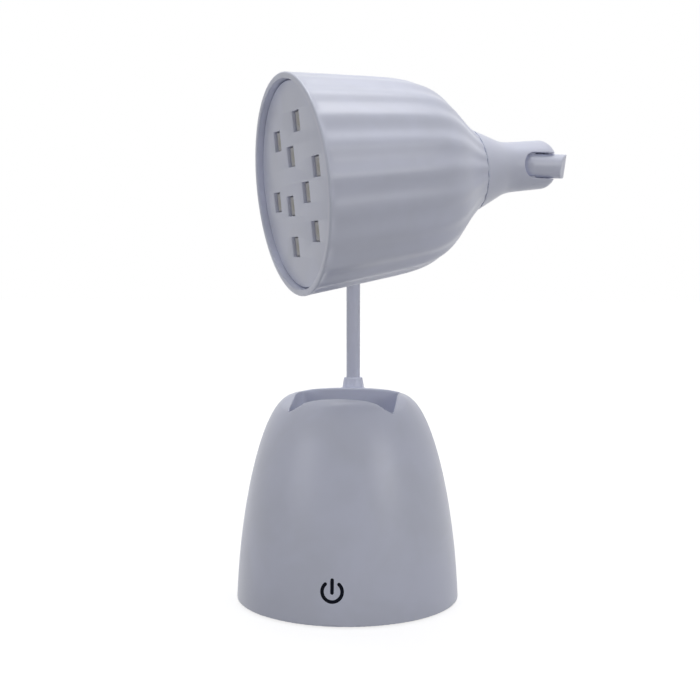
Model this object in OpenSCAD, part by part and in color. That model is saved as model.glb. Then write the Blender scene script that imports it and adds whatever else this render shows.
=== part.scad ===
// Desk nail lamp: a domed base with a brush slot, a gooseneck, and a fluted bell head on a knuckle.
// Millimetres. +Z is up, -Y is the front with the power mark, and the origin is on the
// table under the middle of the base.

/* [Base] */
// Diameter of the base where it stands
base_d = 95; // [85:1:120]
// Height of the base at the middle of its crown
base_h = 89.25; // [80:0.05:110]
// Wall of the base shell
base_wall = 2.2; // [1.6:0.1:2.6]
// Height of the shell's lower edge above the table
edge_gap = 0.8; // [0.4:0.1:1]
// Thickness of the floor plate
floor_t = 2; // [1.6:0.1:3]
// Thickness of the foot pad
foot_t = 1.2; // [1:0.1:2]

/* [Brush slot] */
// Width of the slot, side to side
slot_w = 43.4; // [36:0.2:46]
// Front to back length of the slot
slot_l = 33.5; // [24:0.5:36]
// Distance of the slot's back wall behind the middle of the base
slot_back = 11.5; // [9:0.5:12]
// Height of the slot's bottom above the table
slot_bottom = 31; // [31:1:60]
// How far the cheeks beside the lip lie under the top of the base
cheek_drop = 8.35; // [6:0.05:12]
// Rise of the cheeks towards the back of the slot, in degrees
cheek_slope = 24.2; // [18:0.1:30]
// Width of the front lip that keeps the height of the crown
lip_flat_w = 18; // [10:1:24]

/* [Power mark] */
// Outer diameter of the power mark
mark_d = 9.4; // [7:0.1:14]
// Line width of the power mark
mark_line = 1.4; // [0.8:0.05:1.8]
// Height of the power mark's middle
mark_z = 14.65; // [12:0.05:24]

/* [Gooseneck] */
// Outer diameter of the sleeve
sleeve_d = 6; // [5:0.1:7]
// Wall of the sleeve
sleeve_wall = 0.9; // [0.6:0.1:1]
// Distance of the gooseneck behind the middle of the base
stem_y = 19.5; // [18:0.5:22]
// Straight rise above the lower ferrule
stem_rise = 51.8; // [45:0.1:90]
// Radius of the upper bend
bend_r = 38; // [32:1:50]
// Compass heading of the level run, from +X towards +Y
run_heading = 8.4; // [0:0.1:20]
// Length of the level run
run_len = 17.7; // [16:0.1:40]
// Radius of the bend towards the head
tip_r = 22; // [20:1:30]
// Angle of the bend towards the head
tip_turn = 73.2; // [60:0.1:80]
// Length from that bend to the middle of the knuckle arm
tip_len = 20; // [19:0.5:30]

/* [Head] */
// Diameter of the shade's rim, over the ribs
rim_d = 84.45; // [70:0.05:90]
// Length of the shade, from the rim to the neck's seam
shade_len = 76.6; // [70:0.1:95]
// Number of ribs
rib_n = 22; // [16:1:28]
// Depth of the valleys between the ribs at the rim
rib_depth = 0.85; // [0.3:0.05:1.2]
// Wall of the shade under the valleys
shade_wall = 1.6; // [1.2:0.1:2]
// Length of the neck behind the seam
neck_len = 37.4; // [36:0.1:45]
// Diameter of the neck's round part
neck_d = 20.4; // [19:0.1:23]
// Upward slope of the head from rim to neck
head_pitch = 5.9; // [0:0.1:10]
// Turn of the head towards the front on its knuckle
head_turn = 3.8; // [0:0.1:6]
// How far the face plate lies inside the rim
face_recess = 2.5; // [1:0.1:3]
// Thickness of the face plate
face_t = 2; // [1.5:0.1:2.5]
// Side of the square lamp windows
window_w = 7.7; // [6:0.1:10]

/* [Knuckle] */
// Diameter of the knuckle arm
arm_d = 9.8; // [9:0.1:10]
// Distance of the arm's middle in front of the neck's middle
arm_off = 4.6; // [4:0.1:5]
// Diameter of the two hinge pins
pin_d = 3; // [2:0.1:3.4]

/* [Hidden] */
$fn = 48;

gap = 0.3;                // clearance between loose pieces
fit = 0.05;               // clearance of inlays
eps = 0.01;
white = [0.87, 0.88, 0.92];
steel = [0.66, 0.67, 0.69];
board_green = [0.10, 0.36, 0.22];

// Base outline: half width and height for u from 0 at the table to 1 at the middle of the crown.
// The wall draws in evenly, then turns over a soft shoulder into a gently domed crown.
dome_lean = 0.0711;
dome_draw = 0.2459;
dome_square = 5.27;
dome_crown = 10.7;
dome_sag = 2.04;
dome_steps = 28;
function dome_w(u) = pow(max(0, 1 - pow(u, dome_square)), 1 / dome_crown);
function dome_at(u) = [base_d / 2 * dome_w(u) * (1 - dome_lean * u - dome_draw * u * u),
    base_h * u - dome_sag * pow(dome_w(u), 2) * pow(u, 6)];
function dome_r(z) = dome_at(max(0, min(1, z / base_h)))[0];
function dome_outline(inset, z0) = let (top = base_h - inset, u0 = z0 / top) concat(
    [[0, z0]],
    [for (i = [0 : dome_steps - 1])
        let (u = u0 + (1 - u0) * (1 - pow(1 - i / dome_steps, 4.5)), p = dome_at(max(0, u)))
        [p[0] - inset, u > 0 ? p[1] * top / base_h : u * top]],
    [[0, top]]);

// Slot and lip
slot_front = slot_back - slot_l;
slot_corner = 2.5;
lip_z = base_h + 0.3;
cheek_z = base_h - cheek_drop;
cheek_x = slot_w / 2 + 3.6;
ramp_y = slot_front + 3;
ramp_z = cheek_z + 0.6;
lip_steps = 14;
function lip_height(x) = let (s = (abs(x) - lip_flat_w / 2) / (cheek_x - lip_flat_w / 2))
    cheek_z + (lip_z - cheek_z) * (s <= 0 ? 1 : s >= 1 ? 0 : 0.5 + 0.5 * cos(180 * s));

// Floor, bosses and what stands on the floor
floor_z = foot_t;
floor_top = floor_z + floor_t;
floor_r = dome_r(floor_z) - base_wall - gap;
boss_at = floor_r - 6.4;
boss_r = 3.4;
boss_top = 22;
boss_angles = [45, 135, 225, 315];
screw_r = 1.3;
screw_head_r = 2.5;
foot_pad_r = floor_r - 1.2;
ballast_r = boss_at - boss_r - 2;
ballast_t = 5;
ballast_top = floor_top + ballast_t;
ballast_posts = [[0, -26], [-22.5, 13], [22.5, 13]];
ballast_post_r = 2.4;
ballast_screw_r = 3.5;

battery_r = 9.1;
battery_len = 65;
battery_y = -4;
cradle_base = 0.8;
battery_z = ballast_top + cradle_base + battery_r + 0.1;
cradle_wall = 1.5;
cradle_w = 2 * battery_r + 4;

board_t = 1.6;
board_z = floor_top + 9;
board_w = 32;
board_y0 = 16;
board_y1 = floor_r - 4.2;
board_posts = [[-12.5, board_y0 + 3.2], [12.5, board_y0 + 3.2], [-12.5, board_y1 - 3.2], [12.5, board_y1 - 3.2]];
board_post_r = 2.4;
board_screw_r = 2.2;
board_top = board_z + board_t;

usb_w = 8.94;
usb_h = 3.26;
usb_len = 7.6;
usb_wall = 0.3;
usb_y1 = dome_r(board_top) - 0.8;
usb_z = board_top + usb_h / 2;

touch_w = 18;
touch_h = 20;
touch_z0 = floor_top + 1;
touch_y0 = -(dome_r(mark_z) - base_wall - 3.4);
touch_pad_r = 6;
rail_w = 3.2;

// Lower ferrule and its anchor
ferrule_r = 4.7;
ferrule_top_r = 4.15;
ferrule_lip_r = 3.4;
ferrule_h = 3.85;
ferrule_top = base_h + ferrule_h;
collar_z = base_h - 0.45;
collar_r = ferrule_r + 0.25;
thread_r = 3.5;
anchor_r = 8;
anchor_z = base_h - 9.55;
washer_r = 5.3;
washer_t = 1.2;
nut_t = 4;
nut_r = 5.8;
thread_end = anchor_z - washer_t - nut_t - 1.5;
seat_depth = 5;

// Gooseneck route and where it is hinged
core_r = 1.8;
sleeve_r = sleeve_d / 2;
zone_len = 14;
arc_start = ferrule_top + stem_rise;
hinge_1 = ferrule_top + 0.8 + zone_len / 2;
hinge_2 = hinge_1 + zone_len + 3;
hinge_3 = 45;
hinge_4 = run_len / 2;
hinge_5 = tip_turn / 2;
bend_zone = zone_len / bend_r * 180 / PI;
tip_zone = zone_len / tip_r * 180 / PI;
link_gap = core_r + gap;
bend_link_gap = link_gap / bend_r * 180 / PI;
tip_link_gap = link_gap / tip_r * 180 / PI;

// Head, measured along its axis from the rim
rim_r = rim_d / 2;
shade_taper = 0.0928;
shade_mid = shade_len * 0.9078;
shade_power = 10.16;
shade_end_r = 9.6;
seam_r = shade_r(shade_len);
function shade_r(t) = shade_end_r + (rim_r - shade_taper * t - shade_end_r)
    / (1 + pow(t / shade_mid, shade_power));
rib_start = 2.5;
function valley(t) = rib_depth * shade_r(t) / rim_r * min(1, t / rib_start);
function shade_in(t) = shade_r(t) * (1 - rib_depth / rim_r) - shade_wall;
shade_steps = 16;
shade_ts = concat([0, rib_start],
    [for (i = [1 : shade_steps]) shade_len * (1 - pow(1 - i / shade_steps, 1.5))]);
rib_pts = 4;
end_wall = 2.2;
spigot_r = 9;
ledge_w = 1.8;
face_back = face_recess + face_t;
face_r = shade_in(face_back) - gap;
led_board_t = 1.2;
led_board_z = face_back + 1.5;
led_board_r = rim_r - 8.5;
led_post_at = led_board_r - 4.5;
led_post_r = 2.4;
led_screw_bite = 0.7;
led_w = window_w - 0.5;
led_depth = 1.3;
led_t = led_board_z - face_recess - led_depth;
window_turn = 47.25;
post_angles = [for (i = [0 : 2]) window_turn - 30 + 120 * i];
hook_angles = [for (i = [0 : 2]) window_turn + 30 + 120 * i];
window_ring_r = 0.58 * rim_r;
window_inner_r = 0.265 * rim_r;
window_places = concat(
    [for (i = [0 : 5]) [window_ring_r * cos(60 * i + window_turn), window_ring_r * sin(60 * i + window_turn)]],
    [for (i = [0 : 2]) [window_inner_r * cos(120 * i + window_turn + 30), window_inner_r * sin(120 * i + window_turn + 30)]]);

neck_r = neck_d / 2;
neck_end = shade_len + neck_len;
neck_round = 5.5;
neck_taper = 0.3;
neck_cone_len = 14;
neck_bore_r = 6.5;
seam_gap = 0.1;
arm_r = arm_d / 2;
arm_drop = 0.22;
groove_r = arm_r + 0.25;
pivot_t = neck_end - 11.8;
pin_r = pin_d / 2;
pin_in = 1.6;
pin_out = sqrt(pow(neck_r - neck_taper, 2) - arm_off * arm_off) - 1.2 - arm_drop;
lead_bore_r = 1.3;
stub_r = sleeve_r + 0.9;
elbow_at = 11.9;
arm_len = elbow_at + stub_r + 0.15;
slant_at = elbow_at + 3.7;
slant_roll = 16;
slant_turn = 41.2;
stub_len = 15.5;
arm_flat = 4.2;
arm_washer_r = 2.3;

// Places along the gooseneck. Local +Z runs along it, from the base to the knuckle.
module foot(s) { translate([0, stem_y, s]) children(); }
module upper(a) {
    translate([0, stem_y, arc_start]) rotate([0, 0, run_heading])
        translate([bend_r, 0, 0]) rotate([0, a, 0]) translate([-bend_r, 0, 0]) children();
}
module run(s) { upper(90) translate([0, 0, s]) children(); }
module tip(a) {
    run(run_len) translate([0, -tip_r, 0]) rotate([a, 0, 0]) translate([0, tip_r, 0]) children();
}
module arm_in(s) { tip(tip_turn) translate([0, 0, s]) children(); }
// The knuckle's frame: X along the arm away from the head, Y away from the lamp's front, Z up
module knuckle_frame() { arm_in(tip_len) rotate([-90, 0, 90]) translate([-elbow_at, 0, 0]) children(); }
// The head's frame in it: X from the rim to the neck, sloping up, with the rim's middle as origin
module in_head() {
    rotate([0, 0, head_turn]) translate([0, 0, arm_drop]) rotate([0, -head_pitch, 0])
        translate([-pivot_t, arm_off, 0]) children();
}
module head_frame() { knuckle_frame() in_head() children(); }

// A round tube or rod: straight along Z, round the upper bend, or round the bend to the head
module straight_tube(r, r_in, len) {
    difference() {
        cylinder(r = r, h = len);
        if (r_in > 0) translate([0, 0, -1]) cylinder(r = r_in, h = len + 2);
    }
}
module tube_section(r, r_in) {
    difference() {
        circle(r = r);
        if (r_in > 0) circle(r = r_in);
    }
}
// From the origin upwards, bending towards +X
module arc_tube(rad, r, r_in, angle) {
    translate([rad, 0, 0]) rotate([-90, 0, 0]) rotate([0, 0, 180])
        rotate_extrude(angle = angle) translate([rad, 0]) tube_section(r, r_in);
}
module arc_tube_back(rad, r, r_in, angle) { mirror([0, 0, 1]) arc_tube(rad, r, r_in, angle); }
module upper_tube(r, r_in, a0, a1) { upper(a0) arc_tube(bend_r, r, r_in, a1 - a0); }
module tip_tube(r, r_in, a0, a1) { tip(a0) rotate([0, 0, -90]) arc_tube(tip_r, r, r_in, a1 - a0); }

// A wire drawn as rings of points along a smooth path through the chosen places
wire_pts = 10;
wire_steps = 4;
function unit(v) = v / norm(v);
function along(a, b, c, d, u) = 0.5 * (2 * b + (c - a) * u + (2 * a - 5 * b + 4 * c - d) * u * u
    + (3 * b - a - 3 * c + d) * u * u * u);
function wire_path(p) = concat(
    [for (i = [0 : len(p) - 2], k = [0 : wire_steps - 1])
        along(p[max(0, i - 1)], p[i], p[i + 1], p[min(len(p) - 1, i + 2)], k / wire_steps)],
    [p[len(p) - 1]]);
function heading(p, i) = unit(p[min(len(p) - 1, i + 1)] - p[max(0, i - 1)]);
function square_to(s, t) = unit(s - (s * t) * t);
module wire(places, d) {
    p = wire_path(places);
    n = len(p);
    side = [for (i = 0, s = square_to([0.8, 0.5, 0.33], heading(p, 0)); i < n;
        i = i + 1, s = square_to(s, heading(p, min(n - 1, i)))) s];
    points = concat(
        [for (i = [0 : n - 1], k = [0 : wire_pts - 1]) let (a = 360 * k / wire_pts)
            p[i] + d / 2 * (cos(a) * side[i] + sin(a) * cross(heading(p, i), side[i]))],
        [p[0], p[n - 1]]);
    sides = [for (i = [0 : n - 2], k = [0 : wire_pts - 1]) let (j = (k + 1) % wire_pts, q = i * wire_pts)
        each [[q + k, q + wire_pts + j, q + j], [q + k, q + wire_pts + k, q + wire_pts + j]]];
    start = [for (k = [0 : wire_pts - 1]) [k, (k + 1) % wire_pts, n * wire_pts]];
    finish = [for (k = [0 : wire_pts - 1]) let (q = (n - 1) * wire_pts)
        [q + (k + 1) % wire_pts, q + k, n * wire_pts + 1]];
    polyhedron(points = points, faces = concat(sides, start, finish));
}

// A flat-headed screw that points up from its head
module screw(head_r, head_t, shank_r, len) {
    cylinder(r = head_r, h = head_t, $fn = 24);
    translate([0, 0, head_t]) cylinder(r = shank_r, h = len, $fn = 24);
}

module rounded_rect(w, l, r) {
    square([w, l - 2 * r], center = true);
    square([w - 2 * r, l], center = true);
    for (x = [-1, 1], y = [-1, 1]) translate([x * (w / 2 - r), y * (l / 2 - r)]) circle(r = r);
}

module dome(inset, z0) {
    rotate_extrude($fn = 96) polygon(dome_outline(inset, z0));
}

// Everything above the front lip and the cheeks: a bell-shaped prism that ends on a straight
// ramp, up which the cheeks run into the crown. Both are lowered by grow.
module lip_cut(grow) {
    half = base_d / 2 + 5;
    high = base_h + 10;
    across = cheek_x - lip_flat_w / 2;
    slope = [for (i = [0 : lip_steps]) lip_flat_w / 2 + across * i / lip_steps];
    outline = concat(
        [[half, high], [half, cheek_z - grow]],
        [for (i = [lip_steps : -1 : 0]) [slope[i], lip_height(slope[i]) - grow]],
        [for (i = [0 : lip_steps]) [-slope[i], lip_height(slope[i]) - grow]],
        [[-half, cheek_z - grow], [-half, high]]);
    intersection() {
        translate([0, base_d / 2, 0]) rotate([90, 0, 0]) linear_extrude(height = base_d + 10) polygon(outline);
        translate([0, ramp_y, ramp_z]) rotate([cheek_slope, 0, 0])
            translate([-base_d, -base_d, -grow]) cube([2 * base_d, 2 * base_d, base_h]);
    }
}

module slot_block(grow) {
    w = slot_w / 2 + grow;
    y0 = slot_front - grow;
    y1 = slot_back + grow;
    r = slot_corner + grow;
    translate([0, (y0 + y1) / 2, slot_bottom - grow]) linear_extrude(height = base_h)
        rounded_rect(2 * w, y1 - y0, r);
}

module base_bosses() {
    for (a = boss_angles) rotate([0, 0, a]) {
        translate([boss_at, 0, floor_top]) cylinder(r = boss_r, h = boss_top - floor_top);
        translate([boss_at, -1, floor_top]) cube([base_d / 2 - boss_at, 2, boss_top - floor_top]);
    }
    translate([0, stem_y, anchor_z]) cylinder(r = anchor_r, h = base_h - anchor_z);
}
// Flat seat for the ferrule on the slope of the crown
module collar_seat() { translate([0, stem_y, anchor_z]) cylinder(r = collar_r, h = collar_z - anchor_z); }

// The power sign, drawn upright in its own plane
module power_sign(grow) {
    r = mark_d / 2;
    open = 43;
    difference() {
        circle(r = r + grow);
        circle(r = r - mark_line - grow);
        polygon([[0, 0], [-2 * r * tan(open), 2 * r], [2 * r * tan(open), 2 * r]]);
    }
    for (side = [-1, 1]) rotate(side * open) translate([0, r - mark_line / 2]) circle(d = mark_line + 2 * grow);
    translate([-mark_line / 2 - grow, -mark_d * 0.048]) square([mark_line + 2 * grow, mark_d * 0.534]);
    for (y = [-mark_d * 0.048, mark_d * 0.486]) translate([0, y]) circle(d = mark_line + 2 * grow);
}
module power_prism(grow) {
    translate([0, 0, mark_z]) rotate([90, 0, 0]) linear_extrude(height = base_d) power_sign(grow);
}
mark_depth = 0.3;

module base_shell() {
    color(white) difference() {
        union() {
            difference() {
                dome(0, edge_gap);
                difference() {
                    dome(base_wall, edge_gap - 1);
                    lip_cut(base_wall);
                    slot_block(base_wall);
                }
            }
            intersection() {
                base_bosses();
                dome(base_wall / 2, edge_gap);
            }
            collar_seat();
        }
        lip_cut(0);
        slot_block(0);
        translate([0, stem_y, collar_z]) cylinder(r = collar_r, h = 10);
        translate([0, stem_y, anchor_z - 1]) cylinder(r = thread_r + 0.1, h = base_h);
        for (a = boss_angles) rotate([0, 0, a])
            translate([boss_at, 0, floor_top - 1]) cylinder(r = screw_r + fit, h = 11, $fn = 24);
        translate([0, base_d / 2, usb_z]) rotate([90, 0, 0]) linear_extrude(height = 12)
            rounded_rect(usb_w + 0.7, usb_h + 0.7, 1.6);
        difference() {
            power_prism(fit);
            dome(mark_depth + fit, 0);
        }
    }
}

module power_mark() {
    color([0.05, 0.05, 0.09]) intersection() {
        power_prism(0);
        difference() {
            dome(0, edge_gap);
            dome(mark_depth, 0);
        }
    }
}

module base_floor() {
    color(white * 0.9) difference() {
        union() {
            translate([0, 0, floor_z]) cylinder(r = floor_r, h = floor_t, $fn = 96);
            for (p = ballast_posts) translate([p[0], p[1], floor_z]) cylinder(r = ballast_post_r, h = ballast_top - floor_z);
            for (p = board_posts) translate([p[0], p[1], floor_z]) cylinder(r = board_post_r, h = board_z - floor_z);
            for (side = [-1, 1]) translate([side * (touch_w / 2 + rail_w / 2 - 1) - rail_w / 2, touch_y0 - 1.4, floor_z])
                cube([rail_w, board_t + 2.8, touch_z0 + 9 - floor_z]);
        }
        for (a = boss_angles) rotate([0, 0, a]) {
            translate([boss_at, 0, 0]) cylinder(r = screw_r + 0.3, h = 20, $fn = 24);
            translate([boss_at, 0, 0]) cylinder(r = screw_head_r + 0.2, h = floor_z + 1.1, $fn = 24);
        }
        for (p = ballast_posts) translate([p[0], p[1], floor_top]) cylinder(r = 1.0 + fit, h = 20, $fn = 24);
        for (p = board_posts) translate([p[0], p[1], floor_top]) cylinder(r = 0.9 + fit, h = 20, $fn = 24);
        translate([-touch_w / 2 - 0.15, touch_y0 - 0.15, floor_top]) cube([touch_w + 0.3, board_t + 0.3, 30]);
    }
}

module foot_pad() {
    color([0.35, 0.35, 0.37]) cylinder(r = foot_pad_r, h = foot_t, $fn = 96);
}

module floor_screws() {
    color(steel) for (a = boss_angles) rotate([0, 0, a])
        translate([boss_at, 0, floor_z]) screw(screw_head_r, 1.1, screw_r, 9);
}

module ballast_plate() {
    color([0.45, 0.46, 0.48]) difference() {
        translate([0, 0, floor_top]) cylinder(r = ballast_r, h = ballast_t, $fn = 96);
        for (p = ballast_posts) translate([p[0], p[1], 0]) cylinder(r = ballast_post_r + gap, h = 30);
        for (p = board_posts) translate([p[0], p[1], 0]) cylinder(r = board_post_r + gap, h = 30);
    }
}

module ballast_screws() {
    color(steel) for (p = ballast_posts) translate([p[0], p[1], ballast_top + 1.6]) rotate([180, 0, 0])
        screw(ballast_screw_r, 1.6, 1.0, 4);
}

module battery_cradle() {
    half = battery_len / 2 + 0.5;
    color([0.2, 0.2, 0.22]) difference() {
        translate([-half - cradle_wall, battery_y - cradle_w / 2, ballast_top])
            cube([2 * (half + cradle_wall), cradle_w, battery_z - ballast_top]);
        translate([-half, battery_y, battery_z]) rotate([0, 90, 0]) cylinder(r = battery_r + 0.1, h = 2 * half, $fn = 64);
    }
}

module battery_cell() {
    color([0.25, 0.45, 0.75]) translate([-battery_len / 2, battery_y, battery_z]) rotate([0, 90, 0]) {
        cylinder(r = battery_r, h = battery_len - 1.2, $fn = 64);
        cylinder(r = 3, h = battery_len);
    }
}

battery_wire_d = 1.4;
module battery_leads() {
    color([0.7, 0.1, 0.1]) for (side = [-1, 1]) {
        x = side * (battery_len / 2 + gap + battery_wire_d / 2);
        wire([[x, battery_y, battery_z + 1.5], [x, battery_y, battery_z + 5], [side * 37, 6, 21],
              [side * 26, 19, 19], [side * 9, 24, 18], [side * 9, 24, board_top + 0.2]], battery_wire_d);
    }
}

module main_board() {
    color(board_green) difference() {
        translate([-board_w / 2, board_y0, board_z]) cube([board_w, board_y1 - board_y0, board_t]);
        for (p = board_posts) translate([p[0], p[1], 0]) cylinder(r = 1.1, h = 30, $fn = 24);
    }
}

module board_parts() {
    color([0.12, 0.12, 0.13]) translate([0, 0, board_top]) {
        translate([-4, 27.5, 0]) cube([5, 4.4, 1.5]);
        translate([5, 28, 0]) cylinder(r = 2.6, h = 5.5, $fn = 32);
        translate([-14, 26, 0]) cube([6, 5, 1.6]);
        translate([10.5, 26, 0]) cube([4, 4, 2]);
        translate([-6, 18, 0]) cube([5, 3.4, 4]);
        translate([2, 18, 0]) cube([5, 3.4, 4]);
    }
}

module usb_socket() {
    color(steel) translate([0, usb_y1, usb_z]) rotate([90, 0, 0]) {
        difference() {
            linear_extrude(height = usb_len) rounded_rect(usb_w, usb_h, 1.2);
            translate([0, 0, -1]) linear_extrude(height = usb_len - 0.6 + 1)
                rounded_rect(usb_w - 2 * usb_wall, usb_h - 2 * usb_wall, 1.2 - usb_wall);
        }
        translate([-3.35, -0.35, 0.8]) cube([6.7, 0.7, usb_len - 1]);
    }
}

module board_screws() {
    color(steel) for (p = board_posts) translate([p[0], p[1], board_top + 1.4]) rotate([180, 0, 0])
        screw(board_screw_r, 1.4, 0.9, board_t + 5);
}

module touch_board() {
    color(board_green) translate([-touch_w / 2, touch_y0, touch_z0]) cube([touch_w, board_t, touch_h]);
}

module touch_pad() {
    color([0.3, 0.3, 0.32]) intersection() {
        translate([0, touch_y0, mark_z]) rotate([90, 0, 0]) cylinder(r = touch_pad_r, h = 10);
        dome(base_wall + 0.1, edge_gap);
    }
}

module touch_lead() {
    y = touch_y0 + board_t + 1.1;
    x = battery_len / 2 + 6.6;
    color([0.8, 0.8, 0.8]) wire([[4, y, touch_z0 + 12], [13, y + 1.5, touch_z0 + 11], [23, -22, 20],
        [x - 4, battery_y - cradle_w / 2 - 2.5, 21], [x, battery_y, 22], [x - 1, battery_y + cradle_w / 2 + 1, 23],
        [22, 17, 23], [9, 20, 22], [4.5, 19.7, board_top + 4.6]], 1.6);
}

module lamp_lead() {
    color([0.85, 0.85, 0.85]) wire([[-3.5, 19.7, board_top + 4.2], [-3.5, 20, 30], [-1, 21, 52],
        [0, stem_y, 64], [0, stem_y, thread_end - 1.2]], 2.2);
}

module lower_ferrule() {
    color(white) foot(0) difference() {
        rotate_extrude() polygon([[0, thread_end], [thread_r, thread_end], [thread_r, collar_z + 0.02],
            [ferrule_r, collar_z + 0.02], [ferrule_top_r, ferrule_top - 0.8], [ferrule_lip_r, ferrule_top], [0, ferrule_top]]);
        translate([0, 0, ferrule_top - seat_depth]) cylinder(r = sleeve_r + fit, h = seat_depth + 1);
        translate([0, 0, thread_end - 1]) cylinder(r = core_r + 0.1, h = 60);
    }
}

module anchor_washer() {
    color(steel) foot(anchor_z - washer_t) difference() {
        cylinder(r = washer_r, h = washer_t);
        translate([0, 0, -1]) cylinder(r = thread_r + 0.15, h = washer_t + 2);
    }
}

module anchor_nut() {
    color(steel) foot(anchor_z - washer_t - nut_t) difference() {
        cylinder(r = nut_r, h = nut_t, $fn = 6);
        translate([0, 0, -1]) cylinder(r = thread_r + 0.02, h = nut_t + 2);
    }
}

// Steel core: rods whose round upper ends are the gooseneck's joints
module core_end() { color(steel) sphere(r = core_r - 0.02); }
core_foot_z = thread_end + 2;
module core_foot() {
    color(steel) foot(core_foot_z) straight_tube(core_r, 0, hinge_1 - core_foot_z);
    foot(hinge_1) core_end();
}
module core_1() {
    color(steel) foot(hinge_1 + link_gap) straight_tube(core_r, 0, hinge_2 - hinge_1 - link_gap);
    foot(hinge_2) core_end();
}
module core_2() {
    color(steel) {
        upper(0) mirror([0, 0, 1]) straight_tube(core_r, 0, arc_start - hinge_2 - link_gap);
        upper_tube(core_r, 0, 0, hinge_3);
    }
    upper(hinge_3) core_end();
}
module core_3() {
    color(steel) {
        run(0) arc_tube_back(bend_r, core_r, 0, 90 - hinge_3 - bend_link_gap);
        run(0) straight_tube(core_r, 0, hinge_4);
    }
    run(hinge_4) core_end();
}
module core_4() {
    color(steel) {
        run(hinge_4 + link_gap) straight_tube(core_r, 0, run_len - hinge_4 - link_gap);
        tip_tube(core_r, 0, 0, hinge_5);
    }
    tip(hinge_5) core_end();
}
core_arm_len = tip_len - arm_r + 1;
module core_5() {
    color(steel) {
        arm_in(0) rotate([0, 0, -90]) arc_tube_back(tip_r, core_r, 0, tip_turn - hinge_5 - tip_link_gap);
        arm_in(0) straight_tube(core_r, 0, core_arm_len);
    }
}

// Sleeve: stiff lengths between the places where the gooseneck is bent
sleeve_in = sleeve_r - sleeve_wall;
zone_1a = hinge_1 - zone_len / 2;
zone_1b = hinge_1 + zone_len / 2;
zone_2a = hinge_2 - zone_len / 2;
zone_2b = hinge_2 + zone_len / 2;
zone_3a = hinge_3 - bend_zone / 2;
zone_3b = hinge_3 + bend_zone / 2;
zone_4a = hinge_4 - zone_len / 2;
zone_4b = hinge_4 + zone_len / 2;
zone_5a = hinge_5 - tip_zone / 2;
zone_5b = hinge_5 + tip_zone / 2;
sleeve_seat = ferrule_top - seat_depth;
module sleeve_foot() {
    color(white) foot(sleeve_seat) straight_tube(sleeve_r, sleeve_in, zone_1a - sleeve_seat);
}
module sleeve_1() {
    color(white) foot(zone_1b) straight_tube(sleeve_r, sleeve_in, zone_2a - zone_1b);
}
module sleeve_2() {
    color(white) {
        upper(0) mirror([0, 0, 1]) straight_tube(sleeve_r, sleeve_in, arc_start - zone_2b);
        upper_tube(sleeve_r, sleeve_in, 0, zone_3a);
    }
}
module sleeve_3() {
    color(white) {
        run(0) arc_tube_back(bend_r, sleeve_r, sleeve_in, 90 - zone_3b);
        run(0) straight_tube(sleeve_r, sleeve_in, zone_4a);
    }
}
module sleeve_4() {
    color(white) {
        run(zone_4b) straight_tube(sleeve_r, sleeve_in, run_len - zone_4b);
        tip_tube(sleeve_r, sleeve_in, 0, zone_5a);
    }
}
sleeve_arm_len = tip_len - stub_len + seat_depth - 0.1;
module sleeve_5() {
    color(white) {
        arm_in(0) rotate([0, 0, -90]) arc_tube_back(tip_r, sleeve_r, sleeve_in, tip_turn - zone_5b);
        arm_in(0) straight_tube(sleeve_r, sleeve_in, sleeve_arm_len);
    }
}
module bend_sleeve_1() { color(white * 0.96) foot(zone_1a) straight_tube(sleeve_r, sleeve_in, zone_len); }
module bend_sleeve_2() { color(white * 0.96) foot(zone_2a) straight_tube(sleeve_r, sleeve_in, zone_len); }
module bend_sleeve_3() { color(white * 0.96) upper_tube(sleeve_r, sleeve_in, zone_3a, zone_3b); }
module bend_sleeve_4() { color(white * 0.96) run(zone_4a) straight_tube(sleeve_r, sleeve_in, zone_len); }
module bend_sleeve_5() { color(white * 0.96) tip_tube(sleeve_r, sleeve_in, zone_5a, zone_5b); }

// Turned pieces of the head: points are [radius, distance from the rim]
module turned(points) { rotate([0, 90, 0]) rotate_extrude($fn = 96) polygon(points); }

module knuckle_arm() {
    color(white) knuckle_frame() difference() {
        union() {
            rotate([0, 90, 0]) cylinder(r = arm_r, h = arm_len);
            sphere(r = arm_r);
            translate([elbow_at, 0, 0]) rotate([-90, 0, 0]) cylinder(r = stub_r, h = stub_len);
        }
        rotate([slant_roll, 0, 0]) translate([slant_at, 0, 0]) rotate([0, 0, -slant_turn])
            translate([0, -20, -20]) cube([20, 40, 40]);
        translate([elbow_at, stub_len - seat_depth, 0]) rotate([-90, 0, 0]) cylinder(r = sleeve_r + fit, h = seat_depth + 1);
        translate([elbow_at, 3, 0]) rotate([-90, 0, 0]) cylinder(r = core_r + 0.1, h = stub_len);
        translate([elbow_at, 0.8, 0]) rotate([-90, 0, 0]) cylinder(r = lead_bore_r, h = stub_len);
        translate([-2 * arm_r, 0, 0]) rotate([0, 90, 0]) cylinder(r = lead_bore_r, h = 2 * arm_r + elbow_at - 0.4);
        cylinder(r = pin_r + 0.01, h = 2 * arm_d, center = true);
        for (side = [0, 1]) mirror([0, 0, side])
            translate([0, 0, arm_flat]) cylinder(r = arm_washer_r + 0.15, h = arm_r);
    }
}

module hinge_pins() {
    color(steel) knuckle_frame() for (side = [0, 1]) mirror([0, 0, side])
        translate([0, 0, pin_in]) cylinder(r = pin_r, h = pin_out - pin_in);
}

module hinge_washers() {
    color([0.8, 0.8, 0.78]) knuckle_frame() for (side = [0, 1]) mirror([0, 0, side])
        translate([0, 0, arm_flat + 0.02]) difference() {
            cylinder(r = arm_washer_r, h = groove_r - arm_flat - 0.05);
            translate([0, 0, -1]) cylinder(r = pin_r + 0.05, h = 4);
        }
}

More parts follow.
